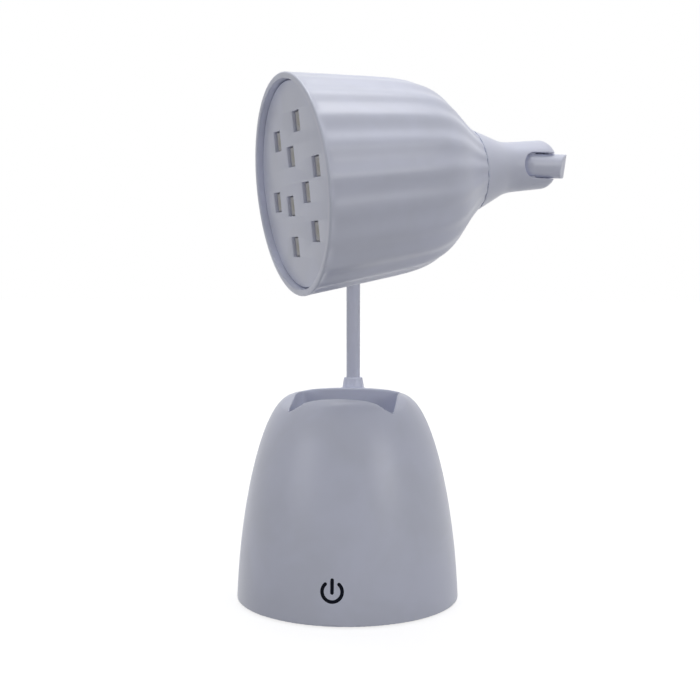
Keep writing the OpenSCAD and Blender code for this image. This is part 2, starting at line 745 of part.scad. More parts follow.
neck_steps = 8;
module neck() {
    end_r = neck_r - neck_taper;
    t0 = shade_len + seam_gap;
    spigot_len = end_wall + 6.5;
    color(white) knuckle_frame() difference() {
        in_head() {
            turned(concat(
                [[0, t0], [seam_r, t0], [neck_r + 0.7, t0 + neck_cone_len - 1.3], [neck_r + 0.2, t0 + neck_cone_len],
                    [neck_r, t0 + neck_cone_len + 1.6]],
                [for (i = [0 : neck_steps]) let (a = 90 * i / neck_steps)
                    [end_r - neck_round * (1 - cos(a)), neck_end - neck_round + neck_round * sin(a)]],
                [[0, neck_end]]));
            translate([shade_len - spigot_len, 0, 0]) rotate([0, 90, 0]) cylinder(r = spigot_r, h = spigot_len + 1);
        }
        in_head() translate([shade_len - 20, 0, 0]) rotate([0, 90, 0]) cylinder(r = neck_bore_r, h = pivot_t - shade_len + 9);
        translate([-16, 0, 0]) rotate([0, 90, 0]) cylinder(r = lead_bore_r + 0.3, h = 16);
        translate([0, groove_r, 0]) rotate([90, 0, 0]) linear_extrude(height = 30 + groove_r) {
            circle(r = groove_r);
            translate([0, -groove_r]) square([30, 2 * groove_r]);
        }
        translate([elbow_at - stub_r - 5.1, 0, -stub_r - 0.4]) cube([30, 30, 2 * stub_r + 0.8]);
        cylinder(r = arm_washer_r + 0.15, h = 2 * groove_r, center = true);
        cylinder(r = pin_r + 0.05, h = 2 * (pin_out + 0.2), center = true);
    }
}

module neck_nut() {
    color(white * 0.9) head_frame() translate([shade_len - end_wall - 4, 0, 0]) rotate([0, 90, 0]) difference() {
        cylinder(r = spigot_r + 4.4, h = 4, $fn = 6);
        translate([0, 0, -1]) cylinder(r = spigot_r + 0.02, h = 6);
    }
}

// Outer skin of the shade: rings of points, four to each rib
function rib_wave(i) = 0.5 + 0.5 * cos(360 * i / rib_pts);
module fluted_solid() {
    n = rib_n * rib_pts;
    rings = len(shade_ts);
    points = concat(
        [for (t = shade_ts, i = [0 : n - 1]) let (r = shade_r(t) - valley(t) * rib_wave(i), a = 360 * i / n)
            [t, r * cos(a), r * sin(a)]],
        [[0, 0, 0], [shade_len, 0, 0]]);
    sides = [for (k = [0 : rings - 2], i = [0 : n - 1]) let (j = (i + 1) % n, p = k * n)
        each [[p + i, p + n + j, p + j], [p + i, p + n + i, p + n + j]]];
    front = [for (i = [0 : n - 1]) [i, (i + 1) % n, rings * n]];
    back = [for (i = [0 : n - 1]) let (p = (rings - 1) * n) [p + (i + 1) % n, p + i, rings * n + 1]];
    polyhedron(points = points, faces = concat(sides, front, back));
}

module head_shade() {
    inner_end = shade_len - end_wall;
    inner_ts = [for (i = [0 : shade_steps]) inner_end * (1 - pow(1 - i / shade_steps, 1.5))];
    color(white) head_frame() {
        difference() {
            fluted_solid();
            turned(concat([[0, -1], [shade_in(0), -1]], [for (t = inner_ts) [shade_in(t), t]], [[0, inner_end]]));
            translate([shade_len - end_wall - 1, 0, 0]) rotate([0, 90, 0]) cylinder(r = spigot_r + 0.15, h = end_wall + 2);
        }
        difference() {
            translate([face_back + 0.1, 0, 0]) rotate([0, 90, 0]) cylinder(r = shade_in(face_back) + 0.6, h = 1.8, $fn = 96);
            rotate([0, 90, 0]) cylinder(r = shade_in(face_back) - ledge_w, h = 20, $fn = 96);
        }
    }
}

hook_w = 8;
module face_plate() {
    color(white) head_frame() difference() {
        union() {
            translate([face_recess, 0, 0]) rotate([0, 90, 0]) cylinder(r = face_r, h = face_t, $fn = 96);
            for (a = post_angles) rotate([a, 0, 0]) {
                translate([face_back - eps, led_post_at, 0]) rotate([0, 90, 0]) cylinder(r = led_post_r, h = led_board_z - face_back + eps);
            }
            for (a = hook_angles) rotate([a, 0, 0]) {
                translate([face_back - eps, shade_in(face_back) - ledge_w - gap - 1.4, -hook_w / 2]) cube([3.6, 1.4, hook_w]);
                translate([face_back + 2.2, shade_in(face_back) - ledge_w - gap - 1.4, -hook_w / 2]) cube([1.4, 2.6, hook_w]);
            }
        }
        for (p = window_places) translate([face_recess - 1, p[0] - window_w / 2, p[1] - window_w / 2])
            cube([face_t + 2, window_w, window_w]);
        for (a = post_angles) rotate([a, 0, 0])
            translate([face_back - led_screw_bite - 0.1, led_post_at, 0]) rotate([0, 90, 0])
                cylinder(r = 0.9 + fit, h = 20, $fn = 24);
    }
}

module led_board() {
    color([0.9, 0.9, 0.9]) head_frame() difference() {
        translate([led_board_z, 0, 0]) rotate([0, 90, 0]) cylinder(r = led_board_r, h = led_board_t, $fn = 96);
        for (a = post_angles) rotate([a, 0, 0])
            translate([led_board_z - 1, led_post_at, 0]) rotate([0, 90, 0]) cylinder(r = 1.1, h = 4, $fn = 24);
    }
}

module led_chips() {
    color([0.85, 0.8, 0.55]) head_frame() for (p = window_places)
        translate([led_board_z - led_t, p[0] - led_w / 2, p[1] - led_w / 2]) cube([led_t, led_w, led_w]);
}

module led_screws() {
    back = led_board_z + led_board_t;
    color(steel) head_frame() for (a = post_angles) rotate([a, 0, 0])
        translate([back + 1.4, led_post_at, 0]) rotate([0, -90, 0])
            screw(2.2, 1.4, 0.9, back - face_back + led_screw_bite);
}

module head_lead() {
    back = led_board_z + led_board_t;
    color([0.85, 0.85, 0.85]) head_frame() wire([[back + 0.2, 0, 6], [back + 8, 0, 6], [shade_len * 0.5, 2, 8],
        [shade_len * 0.75, 0, 2], [shade_len * 0.9, 0, 0], [pivot_t - 14, -arm_off * 0.6, 0]], 2.2);
}

base_shell();
power_mark();
base_floor();
foot_pad();
floor_screws();
ballast_plate();
ballast_screws();
battery_cradle();
battery_cell();
battery_leads();
main_board();
board_parts();
usb_socket();
board_screws();
touch_board();
touch_pad();
touch_lead();
lamp_lead();
lower_ferrule();
anchor_washer();
anchor_nut();
core_foot();
core_1();
core_2();
core_3();
core_4();
core_5();
sleeve_foot();
sleeve_1();
sleeve_2();
sleeve_3();
sleeve_4();
sleeve_5();
bend_sleeve_1();
bend_sleeve_2();
bend_sleeve_3();
bend_sleeve_4();
bend_sleeve_5();
knuckle_arm();
hinge_pins();
hinge_washers();
neck();
neck_nut();
head_shade();
face_plate();
led_board();
led_chips();
led_screws();
head_lead();
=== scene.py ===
# Desk nail lamp: a domed base with a brush slot, a gooseneck, and a fluted bell head on a knuckle.
# Shapes are worked out in millimetres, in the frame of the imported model, and written in metres.
import math
import bpy
import bmesh
import numpy as np
from mathutils import Matrix, Vector


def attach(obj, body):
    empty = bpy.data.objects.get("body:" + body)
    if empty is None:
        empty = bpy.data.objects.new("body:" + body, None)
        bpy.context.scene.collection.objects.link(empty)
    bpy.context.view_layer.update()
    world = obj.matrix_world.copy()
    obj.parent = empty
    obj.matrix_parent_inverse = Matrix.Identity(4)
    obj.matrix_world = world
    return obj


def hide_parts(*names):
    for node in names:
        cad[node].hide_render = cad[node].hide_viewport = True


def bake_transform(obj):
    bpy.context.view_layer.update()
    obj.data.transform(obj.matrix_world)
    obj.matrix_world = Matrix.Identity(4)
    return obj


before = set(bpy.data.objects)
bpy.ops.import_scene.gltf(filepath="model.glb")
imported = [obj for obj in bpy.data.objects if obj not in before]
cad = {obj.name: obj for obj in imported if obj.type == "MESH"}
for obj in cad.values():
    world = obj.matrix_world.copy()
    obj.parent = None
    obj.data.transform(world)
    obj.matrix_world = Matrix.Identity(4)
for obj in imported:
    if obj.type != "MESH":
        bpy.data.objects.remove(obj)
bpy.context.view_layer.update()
MM = 0.001


# Camera: a long lens a little above the lamp and to its right, half a metre away. The view is level
# side to side, and its middle lies a few pixels left of the picture's middle.
CAMERA_TURN = math.radians(7.5)
CAMERA_TILT = math.radians(4.172)
CAMERA_FAR = 500
LOOKED_AT = Vector((0, 0, 106.49))
PICTURE = 700
FOCAL_PIXELS = 1172.97
MIDDLE_SHIFT = 2.5 / PICTURE

back = Vector((math.sin(CAMERA_TURN) * math.cos(CAMERA_TILT),
               -math.cos(CAMERA_TURN) * math.cos(CAMERA_TILT), math.sin(CAMERA_TILT)))
right = Vector((math.cos(CAMERA_TURN), math.sin(CAMERA_TURN), 0))
camera_data = bpy.data.cameras.new("camera")
camera = bpy.data.objects.new("camera", camera_data)
bpy.context.scene.collection.objects.link(camera)
camera_data.sensor_fit = "HORIZONTAL"
camera_data.sensor_width = 36
camera_data.lens = FOCAL_PIXELS / PICTURE * camera_data.sensor_width
camera_data.shift_x = MIDDLE_SHIFT
camera_data.clip_start = 0.01
camera.matrix_world = (Matrix.Translation((LOOKED_AT + back * CAMERA_FAR) * MM)
                       @ Matrix((right, back.cross(right), back)).transposed().to_4x4())
bpy.context.scene.camera = camera


# Studio: a pale floor under a white surround. To the camera the floor also glows, a painted brightening
# that makes it white. The glow is weaker near the lamp, so the floor round the lamp is painted a
# little darker and keeps the lamp's soft shadow. From below it is clear. One wide box lights from
# above, and a smaller one from each side in front.
class Wire:
    """One output of a node. Sums and products of wires add their Math nodes."""

    def __init__(self, tree, socket=None):
        self.tree, self.socket = tree, socket

    def node(self, kind, settings=None, sockets=None, out=0):
        made = self.tree.nodes.new(kind)
        for key, value in (settings or {}).items():
            setattr(made, key, value)
        for key, value in (sockets or {}).items():
            if isinstance(value, Wire):
                self.tree.links.new(value.socket, made.inputs[key])
            else:
                made.inputs[key].default_value = value
        return Wire(self.tree, made.outputs[out] if len(made.outputs) else None)

    def other(self, out):
        return Wire(self.tree, self.socket.node.outputs[out])

    def maths(self, operation, a, b=0.0, c=0.0):
        return self.node("ShaderNodeMath", {"operation": operation}, {0: a, 1: b, 2: c})

    def __add__(self, b): return self.maths("ADD", self, b)
    def __radd__(self, b): return self.maths("ADD", b, self)
    def __sub__(self, b): return self.maths("SUBTRACT", self, b)
    def __rsub__(self, b): return self.maths("SUBTRACT", b, self)
    def __mul__(self, b): return self.maths("MULTIPLY", self, b)
    def __rmul__(self, b): return self.maths("MULTIPLY", b, self)
    def __truediv__(self, b): return self.maths("DIVIDE", self, b)

    def step(self, low, high):
        """0 below low, 1 above high, smooth between."""
        return self.node("ShaderNodeMapRange", {"interpolation_type": "SMOOTHSTEP"},
                         {"Value": self, "From Min": low, "From Max": high})


def new_look(name):
    """An empty node material, and a wire to start its nodes from."""
    look = bpy.data.materials.new(name)
    look.use_nodes = True
    look.node_tree.nodes.clear()
    return look, Wire(look.node_tree)


def seen_directly(n):
    """1 for rays from the camera, a mirror or a clear surface, else 0."""
    rays = n.node("ShaderNodeLightPath")
    return rays.maths("MAXIMUM", rays.maths("MAXIMUM", rays, rays.other("Is Glossy Ray")),
                      rays.other("Is Transmission Ray"))


FLOOR_COLOUR = (0.4, 0.4, 0.41, 1)
FLOOR_REACH, FLOOR_SINK = 4, 0.00005
FLOOR_LIFT, FAR_LIFT, LIFT_FROM, LIFT_TO = 0.8, 0.97, 0.06, 0.4
ROOM_LEVEL = 0.2
ROOM_COLOUR = (0.97, 0.98, 1.0, 1)

floor_mesh = bpy.data.meshes.new("studio_floor")
floor_mesh.from_pydata([(x * FLOOR_REACH, y * FLOOR_REACH, -FLOOR_SINK)
                        for x, y in ((-1, -1), (1, -1), (1, 1), (-1, 1))], [], [(0, 1, 2, 3)])
floor = bpy.data.objects.new("studio_floor", floor_mesh)
bpy.context.scene.collection.objects.link(floor)
floor_look, n = new_look("studio_floor")
seen = seen_directly(n)
paint = n.node("ShaderNodeBsdfDiffuse", None, {"Color": FLOOR_COLOUR})
# Painted glow: the floor is brightened for the camera, less within a few centimetres of the lamp and fully
# from 40 cm away
spot = n.node("ShaderNodeTexCoord", out="Object")
away = n.node("ShaderNodeVectorMath", {"operation": "LENGTH"}, {0: spot}, out="Value")
far_off = away.step(LIFT_FROM, LIFT_TO)
lift = n.node("ShaderNodeEmission", None,
              {"Color": (1, 1, 1, 1), "Strength": seen * (far_off * (FAR_LIFT - FLOOR_LIFT) + FLOOR_LIFT)})
both = n.node("ShaderNodeAddShader", None, {0: paint, 1: lift})
from_below = n.node("ShaderNodeNewGeometry", out="Backfacing")
clear = n.node("ShaderNodeBsdfTransparent")
one_sided = n.node("ShaderNodeMixShader", None, {0: from_below, 1: both, 2: clear})
n.node("ShaderNodeOutputMaterial", None, {"Surface": one_sided})
floor_mesh.materials.append(floor_look)

world = bpy.data.worlds.new("studio")
bpy.context.scene.world = world
world.use_nodes = True
world.node_tree.nodes.clear()
n = Wire(world.node_tree)
seen = seen_directly(n)
room = n.node("ShaderNodeBackground", None, {"Color": ROOM_COLOUR, "Strength": ROOM_LEVEL})
white = n.node("ShaderNodeBackground", None, {"Color": (1, 1, 1, 1), "Strength": 1.0})
sky = n.node("ShaderNodeMixShader", None, {0: seen, 1: room, 2: white})
n.node("ShaderNodeOutputWorld", None, {"Surface": sky})


def softbox(name, place, aim, width, height, watts):
    data = bpy.data.lights.new(name, "AREA")
    data.shape, data.size, data.size_y, data.energy = "RECTANGLE", width, height, watts
    lamp = bpy.data.objects.new(name, data)
    bpy.context.scene.collection.objects.link(lamp)
    lamp.location = place
    lamp.rotation_euler = (Vector(aim) - Vector(place)).to_track_quat("-Z", "Y").to_euler()


softbox("box_above", (0.05, 0.05, 0.95), (0.03, 0, 0.1), 0.7, 0.5, 3.75)
softbox("box_left", (-0.75, -0.7, 0.42), (0, 0, 0.1), 0.5, 0.4, 1.4)
softbox("box_right", (0.85, -0.6, 0.42), (0, 0, 0.1), 0.5, 0.4, 1.9)
bpy.context.scene.view_settings.view_transform = "Standard"


# Base shell: one moulded dome of white plastic, open underneath. A deep square pocket opens in its
# crown. Beside the pocket's front lip the crown sinks into low cheeks, which rise again to the back.
BASE_R, BASE_H, BASE_WALL, EDGE_GAP = 47.5, 89.25, 2.2, 0.8
DOME_LEAN, DOME_DRAW, DOME_SQUARE, DOME_CROWN, DOME_SAG = 0.0711, 0.2459, 5.27, 10.7, 2.04
SLOT_W, SLOT_BACK, SLOT_L, SLOT_BOTTOM, SLOT_CORNER = 43.4, 11.5, 33.5, 31, 2.5
LIP_Z, CHEEK_Z, CHEEK_X, LIP_FLAT = 89.55, 80.9, 25.3, 18
RAMP_Y, RAMP_Z, RAMP_SLOPE, RAMP_FILLET = -19, 81.5, math.radians(24.2), 6
STEM_Y, ANCHOR_Z, COLLAR_R, COLLAR_Z = 19.5, 79.7, 4.95, 88.8
CUT_ROUND, CUT_MORE, MORE_FROM, MORE_OVER = 0.5, 0.6, 10, 5
POCKET_ROUND, MOUTH_ROUND, SEAT_ROUND, SEAT_FILLET = 1.5, 0.6, 0.25, 0.5
HOLLOW_ROUND, FOOT_ROUND, USB_ROUND = 0.3, 0.4, 0.25
FLOOR_Z, FLOOR_TOP, FLOOR_GAP, BOSS_INSET = 1.2, 3.2, 0.3, 6.4
BOSS_R, BOSS_TOP, RIB_HALF, PILOT_R, PILOT_TOP, DIAGONAL = 3.4, 22, 1, 1.35, 13.2, 0.7071
ANCHOR_BOSS_R, STEM_HOLE_R, STEM_HOLE_LOW = 8, 3.6, 60
USB_Z, USB_W, USB_H, USB_CORNER, USB_FRONT = 15.43, 9.64, 3.96, 1.6, 35.5


def dome_at(u):
    """Radius and height of the outline, for u from 0 at the table to 1 at the crown's middle."""
    w = np.maximum(0, 1 - u ** DOME_SQUARE) ** (1 / DOME_CROWN)
    return BASE_R * w * (1 - DOME_LEAN * u - DOME_DRAW * u * u), BASE_H * u - DOME_SAG * w * w * u ** 6


def dome_r(z):
    """Radius at a height on the wall, below the turn into the crown."""
    return dome_at(np.clip(z / BASE_H, 0, 1))[0]


def turned_distance(outline, step, margin=4.0):
    """Signed distance to a turned solid, from its outline of (radius, height) places."""
    line = np.array(outline, float)
    loop = np.concatenate([line, line[::-1] * (-1, 1)])
    a, b = loop, np.roll(loop, -1, axis=0)
    keep = np.hypot(*(b - a).T) > 1e-9
    a, b = a[keep], b[keep]
    lows, highs = line.min(axis=0) - margin, line.max(axis=0) + margin
    rs = np.arange(0, highs[0] + step, step)
    hs = np.arange(lows[1], highs[1] + step, step)
    p = np.stack(np.meshgrid(rs, hs, indexing="ij"), axis=-1).reshape(-1, 2)
    near, inside = np.full(len(p), 1e9), np.zeros(len(p), bool)
    for s, e in zip(a, b):
        d = e - s
        k = np.clip(((p - s) @ d) / (d @ d), 0, 1)
        near = np.minimum(near, np.hypot(*(p - s - k[:, None] * d).T))
        if s[1] != e[1]:
            crossing = (s[1] > p[:, 1]) != (e[1] > p[:, 1])
            inside ^= crossing & (p[:, 0] < s[0] + (p[:, 1] - s[1]) * d[0] / d[1])
    table = np.where(inside, -near, near).reshape(len(rs), len(hs))

    def read(r, h):
        fr = np.clip(r / step, 0, len(rs) - 1.001)
        fh = np.clip((h - lows[1]) / step, 0, len(hs) - 1.001)
        i, j = fr.astype(int), fh.astype(int)
        u, v = fr - i, fh - j
        return ((table[i, j] * (1 - u) + table[i + 1, j] * u) * (1 - v)
                + (table[i, j + 1] * (1 - u) + table[i + 1, j + 1] * u) * v)
    return read


def both_round(a, b, r):
    """Where both distances are inside, with the edge between them rounded to radius r."""
    return (np.minimum(np.maximum(a, b), -r)
            + np.hypot(np.maximum(a + r, 0), np.maximum(b + r, 0)))


def smooth(x):
    x = np.clip(x, 0, 1)
    return x * x * (3 - 2 * x)


def rod(x, y, r):
    return np.hypot(x, y) - r


def rounded_plan(x, y, w, l, r):
    """Distance to a rectangle of w by l about the origin with corner radius r."""
    qx, qy = np.abs(x) - w / 2 + r, np.abs(y) - l / 2 + r
    return np.minimum(np.maximum(qx, qy), 0) + np.hypot(np.maximum(qx, 0), np.maximum(qy, 0)) - r


def lines(*spans):
    """Grid lines from spans of (start, end, step)."""
    out = [np.linspace(a, b, max(2, round((b - a) / s) + 1))[:-1] for a, b, s in spans]
    return np.concatenate(out + [[spans[-1][1]]])


def skin(distance, xs, ys, zs):
    """Points and four-sided faces of the surface where a distance is nought."""
    axes = (xs, ys, zs)
    grid = np.meshgrid(xs, ys, zs, indexing="ij")
    d = distance(*grid)
    inside = d < 0
    cells = tuple(len(v) - 1 for v in axes)
    count, total = np.zeros(cells), np.zeros(cells + (3,))
    crossings = []
    for k in range(3):
        low = tuple(slice(0, -1) if m == k else slice(None) for m in range(3))
        high = tuple(slice(1, None) if m == k else slice(None) for m in range(3))
        cut = inside[low] != inside[high]
        crossings.append((cut, inside[low]))
        i = np.nonzero(cut)
        d0, d1 = d[low][i], d[high][i]
        place = np.stack([grid[m][low][i] for m in range(3)], axis=-1)
        place[:, k] += d0 / (d0 - d1) * (axes[k][i[k] + 1] - axes[k][i[k]])
        m1, m2 = [m for m in range(3) if m != k]
        for s1 in (0, 1):
            for s2 in (0, 1):
                at = list(i)
                at[m1], at[m2] = i[m1] - s1, i[m2] - s2
                good = ((at[m1] >= 0) & (at[m1] < cells[m1]) & (at[m2] >= 0) & (at[m2] < cells[m2]))
                at = tuple(v[good] for v in at)
                np.add.at(count, at, 1)
                np.add.at(total, at, place[good])
    used = count > 0
    number = np.full(cells, -1)
    number[used] = np.arange(used.sum())
    points = total[used] / count[used][:, None]
    faces = []
    for k in range(3):
        cut, start_inside = crossings[k]
        i = np.nonzero(cut)
        m1, m2 = (k + 1) % 3, (k + 2) % 3
        good = (i[m1] > 0) & (i[m1] < cells[m1]) & (i[m2] > 0) & (i[m2] < cells[m2])
        i = tuple(v[good] for v in i)
        ring = []
        for s1, s2 in ((1, 1), (0, 1), (0, 0), (1, 0)):
            at = list(i)
            at[m1], at[m2] = i[m1] - s1, i[m2] - s2
            ring.append(number[tuple(at)])
        ring = np.stack(ring, axis=-1)
        outward = start_inside[i]
        faces.append(np.where(outward[:, None], ring, ring[:, ::-1]))
    faces = np.concatenate(faces)
    reach, least_square, longest_move = 0.02, 0.2, 0.3
    for _ in range(4):
        x, y, z = points.T
        off = distance(x, y, z)
        slope = np.stack([distance(x + reach, y, z) - distance(x - reach, y, z),
                          distance(x, y + reach, z) - distance(x, y - reach, z),
                          distance(x, y, z + reach) - distance(x, y, z - reach)], axis=-1) / (2 * reach)
        square = np.maximum((slope ** 2).sum(axis=-1), least_square)
        move = -slope * (off / square)[:, None]
        length = np.maximum(np.hypot(np.hypot(*move.T[:2]), move[:, 2]), 1e-9)
        points = points + move * np.minimum(1, longest_move / length)[:, None]
    return points, faces


def piece(name, points, faces, look, place=Matrix.Identity(4), sharp=40):
    """A mesh object in metres from points in millimetres, set where place puts it."""
    mesh = bpy.data.meshes.new(name)
    flat = [i for f in faces for i in f] if not isinstance(faces, np.ndarray) else faces.ravel()
    sizes = [len(f) for f in faces] if not isinstance(faces, np.ndarray) else \
        np.full(len(faces), faces.shape[1])
    mesh.vertices.add(len(points))
    mesh.vertices.foreach_set("co", np.asarray(points, np.float32).ravel())
    mesh.loops.add(len(flat))
    mesh.loops.foreach_set("vertex_index", np.asarray(flat, np.int32))
    mesh.polygons.add(len(sizes))
    starts = np.concatenate([[0], np.cumsum(sizes)[:-1]]).astype(np.int32)
    mesh.polygons.foreach_set("loop_start", starts)
    mesh.update(calc_edges=True)
    mesh.validate()
    return stand(name, mesh, look, place, sharp)


def stand(name, mesh, look, place=Matrix.Identity(4), sharp=40):
    mesh.transform(Matrix.Scale(MM, 4) @ place)
    mesh.materials.clear()
    mesh.materials.append(look)
    mesh.shade_smooth()
    mesh.set_sharp_from_angle(angle=math.radians(sharp))
    made = bpy.data.objects.new(name, mesh)
    bpy.context.scene.collection.objects.link(made)
    return made


def cleaned(mesh, weld=True):
    """The mesh with all faces turned outward and, if asked, doubled points welded."""
    bm = bmesh.new()
    bm.from_mesh(mesh)
    if weld:
        bmesh.ops.remove_doubles(bm, verts=bm.verts, dist=1e-4)
        bmesh.ops.dissolve_degenerate(bm, edges=bm.edges, dist=1e-5)
    bmesh.ops.recalc_face_normals(bm, faces=bm.faces)
    bm.to_mesh(mesh)
    bm.free()
    return mesh


def plastic(name, colour, rough, grain=0.5, gloss_dip=0.07, tone=0.03, ior=1.49):
    """Moulded plastic: a fine grain, faint flow clouding, and a few rubbed and dusty places."""
    look, n = new_look(name)
    where = n.node("ShaderNodeTexCoord", out="Object")
    cloud = n.node("ShaderNodeTexNoise", None, {"Vector": where, "Scale": 34.0, "Detail": 3.0,
                                                "Roughness": 0.55, "Distortion": 0.4})
    rubbed = n.node("ShaderNodeTexNoise", None, {"Vector": where, "Scale": 210.0, "Detail": 4.0,
                                                 "Roughness": 0.65}).step(0.55, 0.74)
    fine = n.node("ShaderNodeTexNoise", None, {"Vector": where, "Scale": 2600.0, "Detail": 2.0})
    specks = 1 - n.node("ShaderNodeTexVoronoi", {"feature": "F1"},
                        {"Vector": where, "Scale": 260.0}).step(0.035, 0.075)
    lit = tuple(min(1.0, c * (1 + tone)) for c in colour) + (1,)
    dim = tuple(c * (1 - tone) for c in colour[:2]) + (colour[2] * (1 - tone * 1.5), 1)
    shade = n.node("ShaderNodeMix", {"data_type": "RGBA"},
                   {0: cloud.step(0.32, 0.68), 6: dim, 7: lit}, out=2)
    dust = n.node("ShaderNodeMix", {"data_type": "RGBA"},
                  {0: specks * 0.10, 6: shade, 7: tuple(c * 0.72 for c in colour) + (1,)}, out=2)
    roughness = (cloud.maths("MULTIPLY_ADD", cloud, gloss_dip * 2, rough - gloss_dip)
                 + rubbed * 0.05 + specks * 0.12)
    bump = n.node("ShaderNodeBump", None, {"Strength": 0.25, "Distance": 0.00003 * grain,
                                           "Height": fine + cloud * 1.5})
    skin_shader = n.node("ShaderNodeBsdfPrincipled", None,
                         {"Base Color": dust, "Roughness": roughness, "Normal": bump, "IOR": ior})
    n.node("ShaderNodeOutputMaterial", None, {"Surface": skin_shader})
    return look


WHITE = (0.749, 0.774, 0.915)
white_plastic = plastic("white_plastic", WHITE, 0.34)

wall = np.stack(dome_at(1 - (1 - np.linspace(0, 1, 280)) ** 4.5), axis=-1)
dome = turned_distance([(0, -6), (BASE_R, -6)] + wall.tolist(), 0.25)
SLOT_MIDDLE = SLOT_BACK - SLOT_L / 2
FLOOR_R = float(dome_r(FLOOR_Z)) - BASE_WALL - FLOOR_GAP
BOSS_AT = FLOOR_R - BOSS_INSET


def base_distance(x, y, z):
    hull = dome(np.hypot(x, y), z)
    # The air above the bell-shaped lip and above the ramp
    across = CHEEK_X - LIP_FLAT / 2
    s = np.clip((np.abs(x) - LIP_FLAT / 2) / across, 0, 1)
    lean = 0.5 * np.pi * (LIP_Z - CHEEK_Z) / across * np.sin(np.pi * s)
    below = (CHEEK_Z + (LIP_Z - CHEEK_Z) * (0.5 + 0.5 * np.cos(np.pi * s)) - z) / np.hypot(1, lean)
    ramp = (y - RAMP_Y) * math.sin(RAMP_SLOPE) - (z - RAMP_Z) * math.cos(RAMP_SLOPE)
    open_air = -both_round(below, ramp, RAMP_FILLET)
    d = both_round(hull, open_air, CUT_ROUND + CUT_MORE * smooth((np.abs(x) - MORE_FROM) / MORE_OVER))
    # The pocket, and the flat seat of the ferrule
    slot = rounded_plan(x, y - SLOT_MIDDLE, SLOT_W, SLOT_L, SLOT_CORNER)
    slot = both_round(slot, SLOT_BOTTOM - z, POCKET_ROUND)
    d = both_round(d, -slot, MOUTH_ROUND)
    collar = rod(x, y - STEM_Y, COLLAR_R)
    seat = both_round(collar, np.maximum(z - COLLAR_Z, ANCHOR_Z - z), SEAT_ROUND)
    d = np.maximum(-both_round(-d, -seat, SEAT_FILLET), -np.maximum(collar, COLLAR_Z - z))
    # The hollow, the lower edge, and what is moulded inside
    hollow = np.maximum(np.maximum(hull + BASE_WALL, BASE_WALL + open_air), BASE_WALL - slot)
    d = both_round(both_round(d, -hollow, HOLLOW_ROUND), EDGE_GAP - z, FOOT_ROUND)
    u, v = np.abs(x), np.abs(y)
    boss = np.maximum(rod(u - BOSS_AT * DIAGONAL, v - BOSS_AT * DIAGONAL, BOSS_R), z - BOSS_TOP)
    along, off = (u + v) * DIAGONAL, (u - v) * DIAGONAL
    rib = np.maximum(np.maximum(BOSS_AT - along, np.abs(off) - RIB_HALF), z - BOSS_TOP)
    post = np.maximum(np.minimum(boss, rib), FLOOR_TOP - z)
    anchor = np.maximum(rod(x, y - STEM_Y, ANCHOR_BOSS_R), ANCHOR_Z - z)
    d = np.minimum(d, np.maximum(np.minimum(post, anchor), hull + BASE_WALL / 2))
    # Holes
    screw = np.maximum(rod(u - BOSS_AT * DIAGONAL, v - BOSS_AT * DIAGONAL, PILOT_R), z - PILOT_TOP)
    stem = np.maximum(rod(x, y - STEM_Y, STEM_HOLE_R), STEM_HOLE_LOW - z)
    socket = np.maximum(rounded_plan(x, z - USB_Z, USB_W, USB_H, USB_CORNER), USB_FRONT - y)
    d = np.maximum(d, -np.minimum(screw, stem))
    return both_round(d, -socket, USB_ROUND)


points, faces = skin(base_distance,
                     lines((-49, -41, 1.2), (-41, 41, 0.6), (41, 49, 1.2)),
                     lines((-49, -37, 1.2), (-37, 26, 0.6), (26, 49, 1.2)),
                     lines((-0.2, 2, 0.4), (2, 30, 1.6), (30, 33, 0.6), (33, 73, 1.7), (73, 90.1, 0.55)))
base_skin = piece("base_skin", points, faces, white_plastic)
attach(base_skin, "base")
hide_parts("base_shell")


# Power mark: a touch point printed flush on the front of the shell in nearly black ink. It is a
# broken ring with a short bar, a film that follows the dome.
MARK_R, MARK_LINE, MARK_Z, MARK_OPEN = 4.7, 1.4, 14.65, 43
MARK_PROUD, MARK_DEEP = 0.03, 0.25
BAR_LOW, BAR_HIGH = -0.048, 0.486
CAP_POINTS = 10


def stroke(centre_line, width, caps=CAP_POINTS):
    """Outline of a line of the given width with round ends."""
    p = np.array(centre_line, float)
    t = np.gradient(p, axis=0)
    t /= np.hypot(*t.T)[:, None]
    side = np.stack([-t[:, 1], t[:, 0]], axis=-1) * width / 2
    a = np.linspace(0, np.pi, caps)[1:-1, None]
    end = p[-1] + side[-1] * np.cos(a) + t[-1] * np.sin(a) * width / 2
    start = p[0] - side[0] * np.cos(a) - t[0] * np.sin(a) * width / 2
    return np.concatenate([p + side, end, (p - side)[::-1], start])


ring_r = MARK_R - MARK_LINE / 2
ring_turns = np.radians(np.linspace(90 + MARK_OPEN, 450 - MARK_OPEN, 72))
bar_low, bar_high = BAR_LOW * 2 * MARK_R, BAR_HIGH * 2 * MARK_R
outlines = [stroke(np.stack([ring_r * np.cos(ring_turns), ring_r * np.sin(ring_turns)], axis=-1), MARK_LINE),
            stroke([(0, h) for h in np.linspace(bar_low, bar_high, 12)], MARK_LINE)]
points, faces = [], []
for outline in outlines:
    first = len(points)
    for rise in (MARK_PROUD, -MARK_DEEP):
        for x, h in outline:
            r = float(dome_r(MARK_Z + h)) + rise
            points.append((x, -math.sqrt(r * r - x * x), MARK_Z + h))
    m = len(outline)
    # Counted from the middle of the first round end, so the faces run across the line side to side
    across = [(i, m - 1 - i) for i in range(m // 2)]
    cap_half = CAP_POINTS // 2 - 1
    for layer in (0, m):
        for (a, b), (c, d) in zip(across[:-1], across[1:]):
            quad = [first + layer + (i - cap_half) % m for i in (a, b, d, c)]
            faces.append(quad if layer else quad[::-1])
    for i in range(m):
        j = (i + 1) % m
        faces.append([first + i, first + m + i, first + m + j, first + j])
